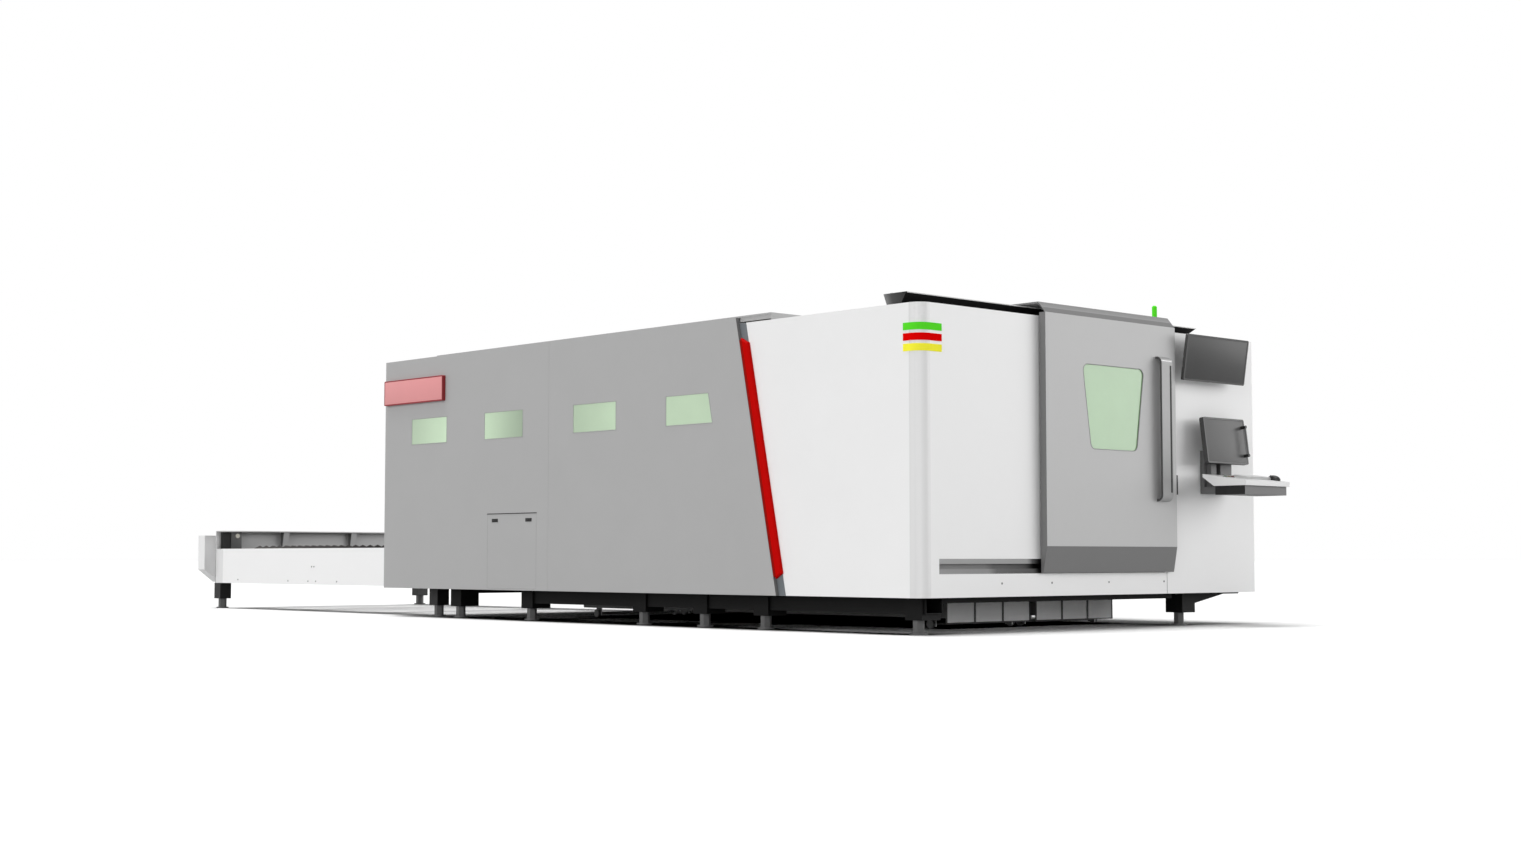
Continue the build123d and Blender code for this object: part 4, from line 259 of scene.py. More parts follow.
def paint(name, level, roughness=0.42, coat=0.0, mottle=0.015, grain=0.05, grain_scale=420.0):
    """Neutral stove enamel with orange peel."""
    return surface(name, grey(level), roughness, coat=coat, mottle=mottle,
                   grain=grain, grain_scale=grain_scale)


def screen_glass(name, level):
    """Matt glass of a dark screen."""
    return surface(name, grey(level), 0.34, mottle=0.03, mottle_scale=4.0, grain=0.02, specular=0.15)


# Paints
GREY = paint("grey_paint", 172)
RETURN_SHADE = paint("return_painted_shade", 122)
WHITE = paint("white_paint", 240, roughness=0.38, mottle=0.008, grain=0.04)
# The table panels take a lighter copy of the white paint: painted light.
TABLE_PAINTED_LIGHT = paint("table_white_painted_light", 248, roughness=0.38, mottle=0.008, grain=0.04)
CORNER_WHITE = paint("corner_paint", 236, roughness=0.30, coat=0.2, mottle=0.008, grain=0.02)
DOOR_GREY = paint("door_paint", 185, roughness=0.40)
DOOR_SIDE_SHADE = paint("door_side_painted_shade", 118)
BLACK = paint("black_paint", 26, roughness=0.50, mottle=0.12, grain=0.10, grain_scale=260.0)
BEAM_BLACK = surface("bed_paint", grey(20), 0.60, mottle=0.14, grain=0.12, grain_scale=240.0, specular=0.12)
DARK = paint("dark_paint", 72, roughness=0.46, mottle=0.06, grain=0.09, grain_scale=300.0)
CART_GREY = paint("cart_paint", 120, roughness=0.46, mottle=0.05, grain=0.08, grain_scale=300.0)
CART_FRONT_PALE_AND_LIT = paint("cart_front_pale_and_painted_light", 236, roughness=0.46, mottle=0.05, grain=0.08, grain_scale=300.0)
FASCIA = surface("fascia_paint", grey(12), 0.55, mottle=0.10, grain=0.06, specular=0.1)
FLANGE = paint("flange_paint", 152)
SLOT = paint("slot_paint", 138)
RECESS = paint("recess_paint", 128)
COVER = paint("cover_paint", 230)
GUARD = paint("guard_paint", 212)
TRAY_WHITE = paint("tray_paint", 232)
LIGHT = paint("light_paint", 200)
ROOF_LIGHT = paint("roof_paint", 208)
CONSOLE = paint("console_paint", 100, roughness=0.46, mottle=0.03)
RED = surface("red_paint", tint(192, 5, 3), 0.60, mottle=0.03, grain=0.04, specular=0.03)
RED_EDGE_SHADE = surface("red_edge_painted_shade", tint(146, 20, 14), 0.60, mottle=0.03, grain=0.04, specular=0.03)
SLATE = surface("slate_paint", tint(110, 115, 119), 0.45, mottle=0.03, grain=0.05)
COVER_END_SHADE = paint("cover_end_painted_shade", 205)
HOOD = paint("hood_paint", 118)

# Metals and coatings
STEEL = brushed("brushed_steel", grey(186), 0.36, (1, 1, 24))
HANDLE_STEEL = surface("handle_satin", grey(184), 0.45, mottle=0.06, mottle_scale=30.0, grain=0.14,
                       grain_scale=160.0, stretch=(24, 24, 1), specular=0.2)
HANDLE_TOP_SHADE = brushed("handle_top_painted_shade", grey(160), 0.42, (24, 24, 1))
FOOT_GREY = surface("foot_coating", grey(100), 0.50, mottle=0.10, grain=0.08, grain_scale=300.0)
HANDLE_SHADE = brushed("handle_side_painted_shade", grey(104), 0.38, (24, 24, 1))
SLAT_STEEL = brushed("slat_steel", tint(120, 118, 116), 0.55, (1, 24, 1))
WHEEL_STEEL = brushed("wheel_steel", grey(108), 0.50, (6, 6, 6))
ALUMINIUM = brushed("milled_aluminium", tint(205, 206, 208), 0.38, (1, 24, 1))
BRASS = brushed("nozzle_brass", tint(198, 160, 90), 0.30, (8, 8, 8))
ZINC = brushed("zinc_screws", grey(130), 0.40, (4, 4, 4))

# Plastics, rubber, glass and lenses
BLACK_PLASTIC = moulded("black_plastic", grey(20))
INLAY = surface("inlay_plastic", grey(72), 0.60, mottle=0.06, mottle_scale=14.0, grain=0.10, specular=0.05)
HOUSING = moulded("screen_housing", grey(62))
GRIP_GREY = moulded("grip_plastic", grey(96))
SCREEN = screen_glass("screen_glass", 92)
MONITOR_GLASS = screen_glass("monitor_glass", 79)
KEYBOARD = moulded("keyboard_plastic", grey(190))
KEYCAP = moulded("key_plastic", grey(212), roughness=0.5)
GREEN_CAP = moulded("green_cap", tint(34, 78, 40))
AMBER_CAP = moulded("amber_cap", tint(96, 80, 30))
RED_CAP = moulded("red_cap", tint(92, 26, 24))
HATCH_SHADE_DARK = moulded("hatch_shade_line_paint", grey(52), roughness=0.7)
PALE_RUBBER = moulded("pale_seal", grey(140), roughness=0.7)
WINDOW_RUBBER = moulded("window_seal", grey(160), roughness=0.7)
CERAMIC = moulded("ceramic_ring", tint(232, 228, 216), roughness=0.35)
SIGN = surface("sign_plastic", tint(228, 156, 157), 0.36, mottle=0.02, grain=0.02, specular=0.1)
SIGN_SIDE = surface("sign_side_plastic", tint(150, 38, 44), 0.40, mottle=0.04, grain=0.04)
GREEN_LENS = lens("green_lens", tint(88, 222, 46), 0.04)
RED_LENS = lens("red_lens", tint(222, 4, 4), 0.03)
YELLOW_LENS = lens("yellow_lens", tint(252, 245, 64), 0.04)
SIDE_SHEET = safety_sheet("side_window_sheet", tint(198, 222, 191))
DOOR_SHEET = safety_sheet("door_window_sheet", tint(158, 195, 150))


# Finish of the CAD nodes

# Shares of a normal along an axis from which a face counts as facing it
FLAT = 0.99
SQUARE = 0.9
MOSTLY = 0.7
HALF = 0.5
PARTLY = 0.3
BARELY = 0.1
ROUNDED = 0.02


def dress(node, material):
    """One material all over a CAD node."""
    mesh = nodes[node].data
    mesh.materials.clear()
    mesh.materials.append(material)


def dress_by(node, materials, choose):
    """Several materials on a CAD node, chosen for each face from its middle and its normal."""
    mesh = nodes[node].data
    mesh.materials.clear()
    for material in materials:
        mesh.materials.append(material)
    for face in mesh.polygons:
        face.material_index = choose(face.center, face.normal)


PLAIN_FINISH = (
    (GREY, ("near_panel_rear", "far_panels", "rear_wall", "roof_lid", "hatch")),
    (WHITE, ("front_right_panel",)),
    (TABLE_PAINTED_LIGHT, ("table_side_panels",)),
    (ROOF_LIGHT, ("roof_front",)),
    (RED, ("slant_trim",)),
    (BEAM_BLACK, ("bed_frame",)),
    (BLACK, ("table_frame", "enclosure_posts", "door_guides", "pallet_tracks", "gantry_drives")),
    (DARK, ("rear_gate", "equipment_cabinets", "upper_pallet_frame", "lower_pallet_frame")),
    (STEEL, ("gantry_rails", "cutting_head")),
    (SLAT_STEEL, ("upper_pallet_slats", "lower_pallet_slats")),
    (
        WHEEL_STEEL,
        (
            "upper_front_wheelset",
            "upper_rear_wheelset",
            "lower_front_wheelset",
            "lower_rear_wheelset",
            "scrap_cart_near_front_wheels",
            "scrap_cart_near_rear_wheels",
            "scrap_cart_far_front_wheels",
            "scrap_cart_far_rear_wheels",
        ),
    ),
    (FOOT_GREY, ("levelling_feet",)),
    (ALUMINIUM, ("gantry_beam", "head_carriage", "z_slide")),
    (BRASS, ("nozzle",)),
    (BLACK_PLASTIC, ("hatch_latches",)),
    (KEYBOARD, ("keyboard",)),
    (HOUSING, ("monitor", "operator_screen")),
    (GREEN_CAP, ("start_button",)),
    (AMBER_CAP, ("pause_button",)),
    (RED_CAP, ("stop_button",)),
    (SIDE_SHEET, ("near_windows",)),
    (DOOR_SHEET, ("door_window",)),
    (SIGN_SIDE, ("sign_box",)),
)
for finish, names in PLAIN_FINISH:
    for node_name in names:
        dress(node_name, finish)

BAR_LENSES = (YELLOW_LENS, RED_LENS, GREEN_LENS)
bar_low, bar_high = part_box("status_bars")
bar_step = (bar_high.z - bar_low.z) / len(BAR_LENSES)
dress_by(
    "status_bars",
    BAR_LENSES,
    lambda middle, normal: min(len(BAR_LENSES) - 1, int((middle.z - bar_low.z) / bar_step)),
)

HOOD_BASE = 2.0
DOOR_FACE, DOOR_SIDE, HOOD_LINING, HOOD_TOP = range(4)


def door_finish(middle, normal):
    """A light face, sides painted darker as shade, a hood top painted in bands of light and shade, and a
    hood lining painted pale as light.
    """
    if normal.x > FLAT:
        return DOOR_FACE
    if middle.z <= HOOD_BASE:
        return DOOR_SIDE
    lean = min(normal.x, normal.z)
    return HOOD_TOP if lean > BARELY else HOOD_LINING if lean < -PARTLY else DOOR_SIDE


# Door sides take a darker copy of the door paint as painted shade; the hood lining takes white as painted
# light.
dress_by("door_shell", (DOOR_GREY, DOOR_SIDE_SHADE, WHITE, HOOD), door_finish)
door_mesh = nodes["door_shell"].data
hood_faces = [face for face in door_mesh.polygons if face.material_index == HOOD_TOP]
hood_levels = [door_mesh.vertices[index].co.z for face in hood_faces for index in face.vertices]
# The hood top is graded along its height into a dark lower band and a light strip: painted shade and
# highlight.
HOOD_PAINTED_BANDS = ((0, 0.74), (0.46, 0.74), (0.50, 1.36), (0.62, 1.18), (1, 1.05))
hood_foot, hood_rise = min(hood_levels), max(hood_levels) - min(hood_levels)
grade(HOOD, Z_AXIS, [(hood_foot + share * hood_rise, tone) for share, tone in HOOD_PAINTED_BANDS])
dress_by(
    "front_shell",
    (WHITE, CORNER_WHITE),
    lambda middle, normal: 1 if normal.x > ROUNDED and normal.y < -ROUNDED else 0,
)
front_low, front_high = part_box("front_shell")
# The rounded corner is graded across its width into darker and lighter bands: painted highlight and shade.
CORNER_PAINTED_BANDS = ((-0.0900, 0.86), (-0.0515, 0.84), (-0.0245, 1.02), (-0.0039, 0.92), (0, 0.94))
grade(CORNER_WHITE, X_AXIS, [(front_high.x + shift, tone) for shift, tone in CORNER_PAINTED_BANDS])
# The near middle panel's return faces take a darker copy of the grey: painted shade.
dress_by("near_panel_middle", (GREY, RETURN_SHADE), lambda middle, normal: 1 if normal.x > HALF else 0)
# The rail cover is painted by facing: a light top, a near end graded darker as painted shade, and a black
# fascia that is partly dark paint and partly painted shade.
dress_by(
    "door_rail_cover",
    (FASCIA, COVER_END_SHADE, LIGHT),
    lambda middle, normal: 2 if normal.z > SQUARE else 1 if normal.y < -SQUARE else 0,
)
cover_low, cover_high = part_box("door_rail_cover")
# Painted shade: the near end of the rail cover darkens inward along X.
END_PAINTED_SHADE = (0.42, 0.12, 0.03)
END_BEND = 0.058
grade(
    COVER_END_SHADE,
    X_AXIS,
    (
        (cover_low.x, END_PAINTED_SHADE[0]),
        (cover_low.x + END_BEND, END_PAINTED_SHADE[1]),
        (cover_high.x, END_PAINTED_SHADE[2]),
    ),
)

TRACK_SPLIT = 1.0
SLOT_LEVELS = (0.400, 0.428)
UPPER_TRACK, SLOT_SIDE, SLOT_FLANGE, SLOT_FOOT, SLOT_BACK = range(5)
# The slot's paints darken along Y towards the door: painted shade.
SLOT_SHADE = ((0.16, 1.0), (0.61, 0.80), (0.69, 0.22), (0.87, 0.10), (1.07, 0.01))
FLANGE_SHADE = ((0.16, 1.0), (0.98, 0.9), (1.03, 0.05), (1.09, 0.02))
for slot_paint, shade in ((FLANGE, FLANGE_SHADE), (SLOT, SLOT_SHADE), (RECESS, SLOT_SHADE)):
    grade(slot_paint, Y_AXIS, [(front_low.y + run, tone) for run, tone in shade])


def track_finish(middle, normal):
    """Steel for the upper track, and four tones in the slot under the door: painted shade."""
    if middle.z > TRACK_SPLIT:
        return UPPER_TRACK
    if normal.x < SQUARE:
        return SLOT_SIDE
    if middle.z > SLOT_LEVELS[1]:
        return SLOT_FLANGE
    return SLOT_FOOT if middle.z < SLOT_LEVELS[0] else SLOT_BACK


dress_by("door_tracks", (STEEL, DARK, FLANGE, SLOT, RECESS), track_finish)

# Cart fronts take a much lighter paint than the sides: partly the carts' pale paint, partly painted light
# against the shade under the machine.
CART_RIB_DEPTH = 0.002
for cart in ("scrap_cart_near", "scrap_cart_far"):
    cart_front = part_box(cart)[1].x - CART_RIB_DEPTH
    dress_by(
        cart,
        (CART_GREY, CART_FRONT_PALE_AND_LIT, BLACK),
        lambda middle, normal, face_x=cart_front: 0 if normal.x < SQUARE else 2 if middle.x > face_x else 1,
    )

CONSOLE_BOX_PROUD = 0.19
console_box_x = front_high.x + CONSOLE_BOX_PROUD
# The console box's near face is painted black: painted shade.
dress_by(
    "wall_brackets",
    (CONSOLE, BLACK),
    lambda middle, normal: 1 if middle.x > console_box_x and normal.y < -HALF else 0,
)
GRIP_CLAMP = 0.035
grip_low, grip_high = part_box("screen_grip")
dress_by(
    "screen_grip",
    (BLACK_PLASTIC, GRIP_GREY),
    lambda middle, normal: 1 if grip_low.z + GRIP_CLAMP < middle.z < grip_high.z - GRIP_CLAMP else 0,
)
# The tray's top takes a darker paint than its sides: painted shade against the overhead lamp.
dress_by("keyboard_tray", (TRAY_WHITE, LIGHT), lambda middle, normal: 1 if normal.z > SQUARE else 0)
# The handle's near side takes a dark copy of the steel and its top a mid one: painted shade.
dress_by(
    "door_handle",
    (HANDLE_STEEL, HANDLE_SHADE, HANDLE_TOP_SHADE),
    lambda middle, normal: 1 if normal.y < -HALF else 2 if normal.z > PARTLY else 0,
)
BEACON_COLLAR = 0.022
beacon_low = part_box("beacon")[0]
dress_by(
    "beacon",
    (BLACK_PLASTIC, GREEN_LENS),
    lambda middle, normal: 1 if middle.z > beacon_low.z + BEACON_COLLAR + EDGE else 0,
)
guard_low, guard_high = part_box("table_end_guard")
wall_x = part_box("pallet_tracks")[0].x
GUARD_SHEET = 0.006
GUARD_OUTSIDE, GUARD_INSIDE_SHADE, GUARD_WALL, GUARD_RIM_SHADE, GUARD_RIB_SHADE = range(5)


def guard_finish(middle, normal):
    """White covers with inner sides, rib sides and rim underside painted darker as shade, and a light grey
    wall.
    """
    if middle.x < wall_x - GUARD_SHEET / 2:
        return GUARD_INSIDE_SHADE if normal.x > HALF else GUARD_OUTSIDE
    if middle.z > guard_high.z - GUARD_SHEET - EDGE:
        return GUARD_RIM_SHADE if normal.z < -HALF else GUARD_OUTSIDE
    return GUARD_RIB_SHADE if abs(normal.y) > MOSTLY else GUARD_WALL


dress_by("table_end_guard", (WHITE, COVER, GUARD, DARK, CONSOLE), guard_finish)


# Mesh helpers

SHARP_ANGLE = radians(32)
BEVEL_PROFILE = 0.6
LEAST_MITRE = 0.5
WELD = 0.00002
NORMAL_DIGITS = 2
LEVEL_DIGITS = 4
POINT_DIGITS = 5


def finish_piece(name, mesh, material, body):
    """Turn a bmesh into a piece of the object that rides on a body."""
    bmesh.ops.recalc_face_normals(mesh, faces=mesh.faces)
    data = bpy.data.meshes.new(name)
    mesh.to_mesh(data)
    mesh.free()
    for face in data.polygons:
        face.use_smooth = True
    data.set_sharp_from_angle(angle=SHARP_ANGLE)
    data.materials.append(material)
    piece = bpy.data.objects.new(name, data)
    bpy.context.scene.collection.objects.link(piece)
    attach(piece, body)
    return piece


def add_block(mesh, low, high, bevel=EDGE, segments=2, place=Matrix.Identity(4)):
    """A box with bevelled edges between two corners, in a local frame if one is given."""
    low, high = Vector(low), Vector(high)
    shape = place @ Matrix.Translation((low + high) / 2) @ Matrix.Diagonal((*(high - low), 1))
    made = bmesh.ops.create_cube(mesh, size=1, matrix=shape)
    edges = {edge for vertex in made["verts"] for edge in vertex.link_edges}
    bmesh.ops.bevel(mesh, geom=list(edges), offset=bevel, segments=segments, profile=BEVEL_PROFILE,
                    affect="EDGES")


def block_piece(name, low, high, material, body, bevel=EDGE):
    """A piece that is one box with bevelled edges."""
    mesh = bmesh.new()
    add_block(mesh, low, high, bevel=bevel)
    return finish_piece(name, mesh, material, body)


def add_turned(mesh, place, profile, segments=SCREW_SEGMENTS):
    """A profile of radius and height turned about the local Z axis; radius zero closes an end."""
    rings = []
    for radius, height in profile:
        angles = [2 * pi * step / segments for step in range(segments)] if radius else [0]
        rings.append(
            [mesh.verts.new(place @ Vector((radius * cos(a), radius * sin(a), height))) for a in angles]
        )
    for lower, upper in zip(rings, rings[1:]):
        for step in range(segments):
            after = (step + 1) % segments
            if len(lower) == 1:
                mesh.faces.new((lower[0], upper[after], upper[step]))
            elif len(upper) == 1:
                mesh.faces.new((lower[step], lower[after], upper[0]))
            else:
                mesh.faces.new((lower[step], lower[after], upper[after], upper[step]))


SCREW_SHARES = (
    (0, 0),
    (1, 0),
    (0.96, 0.22),
    (0.72, 0.46),
    (0.45, 0.52),
    (0.40, 0.50),
    (0.38, 0.16),
    (0, 0.14),
)


def add_screw(mesh, place, radius=SCREW_RADIUS):
    """A button-head screw with a socket, standing on the local XY plane."""
    add_turned(mesh, place, [(r * radius, h * radius) for r, h in SCREW_SHARES])


def add_ring(mesh, place, inner, outer, height, segments=3 * SCREW_SEGMENTS):
    """A flat ring with rounded edges, standing on the local XY plane."""
    edge = (outer - inner) / 4
    profile = [
        (inner, 0),
        (outer, 0),
        (outer, height - edge),
        (outer - edge, height),
        (inner + edge, height),
        (inner, height - edge),
        (inner, 0),
    ]
    add_turned(mesh, place, profile, segments=segments)


def add_seal(mesh, loop, normal, radius=SEAL_RADIUS):
    """A round bead along a closed loop that lies in a plane."""
    count = len(loop)
    rings = []
    for number, point in enumerate(loop):
        before = (point - loop[number - 1]).normalized()
        after = (loop[(number + 1) % count] - point).normalized()
        along = (before + after).normalized()
        mitre = 1 / max(LEAST_MITRE, along.dot(after))
        side = along.cross(normal).normalized() * mitre
        ring = []
        for step in range(SEAL_SEGMENTS):
            angle = 2 * pi * step / SEAL_SEGMENTS
            ring.append(mesh.verts.new(point + radius * (cos(angle) * side + sin(angle) * normal)))
        rings.append(ring)
    for number in range(count):
        ring, following = rings[number], rings[(number + 1) % count]
        for step in range(SEAL_SEGMENTS):
            after = (step + 1) % SEAL_SEGMENTS
            mesh.faces.new((ring[step], ring[after], following[after], following[step]))


def add_prism(mesh, outline, depth):
    """A flat outline carried through a depth and closed all round."""
    front = [mesh.verts.new(point) for point in outline]
    back = [mesh.verts.new(point + depth) for point in outline]
    mesh.faces.new(front)
    mesh.faces.new(back[::-1])
    for step in range(len(outline)):
        mesh.faces.new((front[step], front[step - 1], back[step - 1], back[step]))


def facing(direction, point):
    """A frame at a point whose Z axis points along a direction."""
    return Matrix.Translation(point) @ Vector(direction).to_track_quat("Z", "Y").to_matrix().to_4x4()


def plane_frame(origin, right, normal):
    """A frame on a tilted face: X to the right, Z along the normal."""
    right, normal = Vector(right).normalized(), Vector(normal).normalized()
    axes = Matrix((right, normal.cross(right), normal)).transposed().to_4x4()
    return Matrix.Translation(origin) @ axes


def flat_patch(node, direction):
    """The largest flat patch of a CAD node that faces a direction: its normal and its outlines."""
    mesh = nodes[node].data
    direction = Vector(direction)
    groups = defaultdict(list)
    for face in mesh.polygons:
        if face.normal.dot(direction) > MOSTLY:
            level = face.normal.dot(face.center)
            key = (*[round(c, NORMAL_DIGITS) for c in face.normal], round(level, LEVEL_DIGITS))
            groups[key].append(face)
    patch = max(groups.values(), key=lambda faces: sum(face.area for face in faces))
    rim = {}
    for face in patch:
        corners = [
            tuple(round(c, POINT_DIGITS) for c in mesh.vertices[index].co) for index in face.vertices
        ]
        for start, end in zip(corners, corners[1:] + corners[:1]):
            if rim.pop((end, start), None) is None:
                rim[(start, end)] = True
    step_to = dict(rim.keys())
    loops = []
    while step_to:
        start = point = next(iter(step_to))
        loop = []
        while point in step_to:
            loop.append(Vector(point))
            point = step_to.pop(point)
        loops.append(loop)
    return patch[0].normal.copy(), loops


def panel_frame(node, direction, right):
    """A frame on the largest flat patch of a node, with the patch's low and high corners in it."""
    normal, loops = flat_patch(node, direction)
    place = plane_frame(loops[0][0], right, normal)
    inverse = place.inverted()
    local = [inverse @ point for loop in loops for point in loop]
    low = Vector((min(p.x for p in local), min(p.y for p in local), 0))
    high = Vector((max(p.x for p in local), max(p.y for p in local), 0))
    return place, low, high


def pane(name, node, direction, right, inset, thick, material, body):
    """A thin sheet laid in the largest flat recess of a node."""
    place, low, high = panel_frame(node, direction, right)
    mesh = bmesh.new()
    margin = Vector((inset, inset, 0))
    add_block(mesh, low + margin, high - margin + Vector((0, 0, thick)), place=place, bevel=thick / 4)
    return finish_piece(name, mesh, material, body)


def grouped(node, axis):
    """Boxes of the separate solids of a node, sorted along one axis."""
    source = bmesh.new()
    source.from_mesh(nodes[node].data)
    bmesh.ops.remove_doubles(source, verts=source.verts, dist=WELD)
    waiting = set(source.verts)
    boxes = []
    while waiting:
        front = [waiting.pop()]
        members = list(front)
        while front:
            vertex = front.pop()
            for edge in vertex.link_edges:
                other = edge.other_vert(vertex)
                if other in waiting:
                    waiting.discard(other)
                    front.append(other)
                    members.append(other)
        low = Vector([min(v.co[i] for v in members) for i in range(3)])
        high = Vector([max(v.co[i] for v in members) for i in range(3)])
        boxes.append((low, high))
    source.free()
    return sorted(boxes, key=lambda box: box[0][axis])


# Near side: sign face, window seals, panel seam, a dark line over the hatch as painted shade, hatch seals
# and latch flaps

PANE_INSET = 0.001
SIGN_THICK = 0.0022
pane("sign_face", "sign_box", NEAR, AHEAD, PANE_INSET, SIGN_THICK, SIGN, "machine")

near_normal, near_loops = flat_patch("near_windows", NEAR)
seals = bmesh.new()
for outline in near_loops:
    add_seal(seals, outline, near_normal)
finish_piece("near_window_seals", seals, WINDOW_RUBBER, "machine")

# Each near window is graded lighter and darker along its length: painted light and shade.
WINDOW_PAINTED_LIGHT = ((0.92, 1.22), (1.18, 0.62), (0.86, 1.05), (1.0, 1.0))
window_light_stops = []
for (low, high), (first, last) in zip(grouped("near_windows", X_AXIS), WINDOW_PAINTED_LIGHT):
    window_light_stops += [(low.x, first), (high.x, last)]
grade(SIDE_SHEET, X_AXIS, window_light_stops)

SEAM_SHEET = 0.002
rear_low, rear_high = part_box("near_panel_rear")
middle_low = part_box("near_panel_middle")[0]
block_piece(
    "panel_seam",
    (rear_high.x - EDGE / 4, rear_low.y + EDGE, rear_low.z),
    (middle_low.x + EDGE / 4, rear_low.y + EDGE + SEAM_SHEET, rear_high.z),
    GREY,
    "machine",
    bevel=EDGE / 4,
)

# A dark strip over the hatch's top edge: painted shade of the gap.
HATCH_SHADE_LINE = 0.006
HATCH_SHADE_LINE_PROUD = 0.003
hatch_low, hatch_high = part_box("hatch")
block_piece(
    "hatch_top_shade_line",
    (hatch_low.x - HATCH_SHADE_LINE, hatch_low.y - HATCH_SHADE_LINE_PROUD, hatch_high.z + EDGE),
    (hatch_high.x + HATCH_SHADE_LINE, hatch_low.y, hatch_high.z + EDGE + HATCH_SHADE_LINE),
    HATCH_SHADE_DARK,
    "machine",
)

HATCH_SIDE_SEAL = 0.0018
side_seals = bmesh.new()
for seal_x in (hatch_low.x - HATCH_SIDE_SEAL, hatch_high.x):
    add_block(
        side_seals,
        (seal_x, hatch_low.y - EDGE / 2, hatch_low.z),
        (seal_x + HATCH_SIDE_SEAL, hatch_low.y + EDGE, hatch_high.z),
        bevel=EDGE / 4,
    )
finish_piece("hatch_side_seals", side_seals, PALE_RUBBER, "machine")

LATCH_MARGIN = 0.006
LATCH_FLAP = 0.0015
flaps = bmesh.new()
for latch_low, latch_high in grouped("hatch_latches", X_AXIS):
    latch_middle = (latch_low + latch_high) / 2
    add_block(
        flaps,
        (latch_low.x + LATCH_MARGIN, latch_low.y - LATCH_FLAP, latch_low.z + LATCH_MARGIN),
        (latch_middle.x + LATCH_MARGIN, latch_low.y + EDGE, latch_high.z - LATCH_MARGIN),
    )
    add_ring(
        flaps,
        facing(NEAR, (latch_high.x - 3 * LATCH_MARGIN, latch_low.y, latch_middle.z)),
        LATCH_MARGIN / 2,
        LATCH_MARGIN,
        LATCH_FLAP,
    )
finish_piece("hatch_latch_flaps", flaps, BLACK_PLASTIC, "service_hatch")

# Slanted joint: a darker red edge beside the strip as painted shade, slate band under it

TRIM_LEAD = 0.0155
TRIM_LAP = 0.004
TRIM_PROUD = 0.0015
BAND_THICK = 0.003
trim_normal, trim_loops = flat_patch("slant_trim", NEAR)
trim_outline = trim_loops[0]
trim_edges = sorted(
    zip(trim_outline, trim_outline[1:] + trim_outline[:1]),
    key=lambda ends: (ends[1] - ends[0]).length,
)
long_edges = [sorted(ends, key=lambda point: point.z) for ends in trim_edges[-2:]]
left_edge, right_edge = sorted(long_edges, key=lambda ends: ends[0].x + ends[1].x)
# The trim's left edge takes a darker red: painted shade.
trim_edge = bmesh.new()
left_run = left_edge[1] - left_edge[0]
add_block(
    trim_edge,
    (0, -TRIM_LAP, -TRIM_LEAD),
    (left_run.length, TRIM_LEAD, TRIM_PROUD),
    bevel=EDGE / 2,
    place=plane_frame(left_edge[0], left_run, trim_normal),
)
finish_piece("trim_edge", trim_edge, RED_EDGE_SHADE, "machine")


def along_edge(ends, level, shift):
    """The point of a slanted line at a height, moved along X, on the white shell's near face."""
    share = (level - ends[0].z) / (ends[1].z - ends[0].z)
    point = ends[0] + share * (ends[1] - ends[0])
    return Vector((point.x + shift, front_low.y + EDGE / 2, level))


band = bmesh.new()
band_levels = (front_low.z + EDGE, front_high.z - EDGE)
band_outline = [along_edge(left_edge, level, -TRIM_LEAD) for level in band_levels]
band_outline += [along_edge(right_edge, level, 0) for level in reversed(band_levels)]
add_prism(band, band_outline, Vector((0, -BAND_THICK, 0)))
finish_piece("slant_band", band, SLATE, "machine")

# Front: screws, seam, door window seal, door strike, cover strip, handle inlay

SEAM_WIDTH = 0.004
SEAM_PROUD = 0.0004
right_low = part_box("front_right_panel")[0]
door_low, door_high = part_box("door_shell")
block_piece(
    "front_seam",
    (front_high.x - EDGE, right_low.y - SEAM_WIDTH, front_low.z + EDGE),
    (front_high.x + SEAM_PROUD, right_low.y, door_low.z),
    DARK,
    "machine",
    bevel=SEAM_PROUD / 2,
)

screws = bmesh.new()
for screw_y in APRON_SCREW_Y:
    add_screw(screws, facing(AHEAD, (front_high.x, screw_y, APRON_SCREW_Z)))
finish_piece("apron_screws", screws, ZINC, "machine")

door_normal, door_loops = flat_patch("door_shell", AHEAD)
window_low, window_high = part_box("door_window")
door_seal = bmesh.new()
for outline in door_loops:
    heights = [point.z for point in outline]
    if window_low.z < min(heights) and max(heights) < window_high.z:
        add_seal(door_seal, outline, door_normal)
finish_piece("door_window_seal", door_seal, WINDOW_RUBBER, "sliding_door")

strike_foot = Vector((front_high.x, door_high.y + STRIKE_GAP, STRIKE_BASE))
block_piece(
    "door_strike",
    strike_foot,
    strike_foot + Vector(STRIKE_SIZE),
    BLACK_PLASTIC,
    "machine",
    bevel=STRIKE_BEVEL,
)

COVER_STRIP = 0.006
COVER_STRIP_PROUD = 0.002
block_piece(
    "rail_cover_strip",
    (cover_high.x - EDGE, cover_low.y + COVER_STRIP, cover_high.z - COVER_STRIP),
    (cover_high.x + COVER_STRIP_PROUD, cover_high.y - COVER_STRIP, cover_high.z),
    LIGHT,
    "machine",
    bevel=EDGE / 2,
)

INLAY_SHARES = (0.77, 0.92)
INLAY_MARGIN = 0.060
INLAY_PROUD = 0.0012
handle_low, handle_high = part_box("door_handle")
handle_width = handle_high.y - handle_low.y
inlay_left, inlay_right = [handle_low.y + share * handle_width for share in INLAY_SHARES]
block_piece(
    "handle_inlay",
    (handle_high.x - EDGE, inlay_left, handle_low.z + INLAY_MARGIN),
    (handle_high.x + INLAY_PROUD, inlay_right, handle_high.z - INLAY_MARGIN),
    INLAY,
    "sliding_door",
    bevel=EDGE / 2,
)
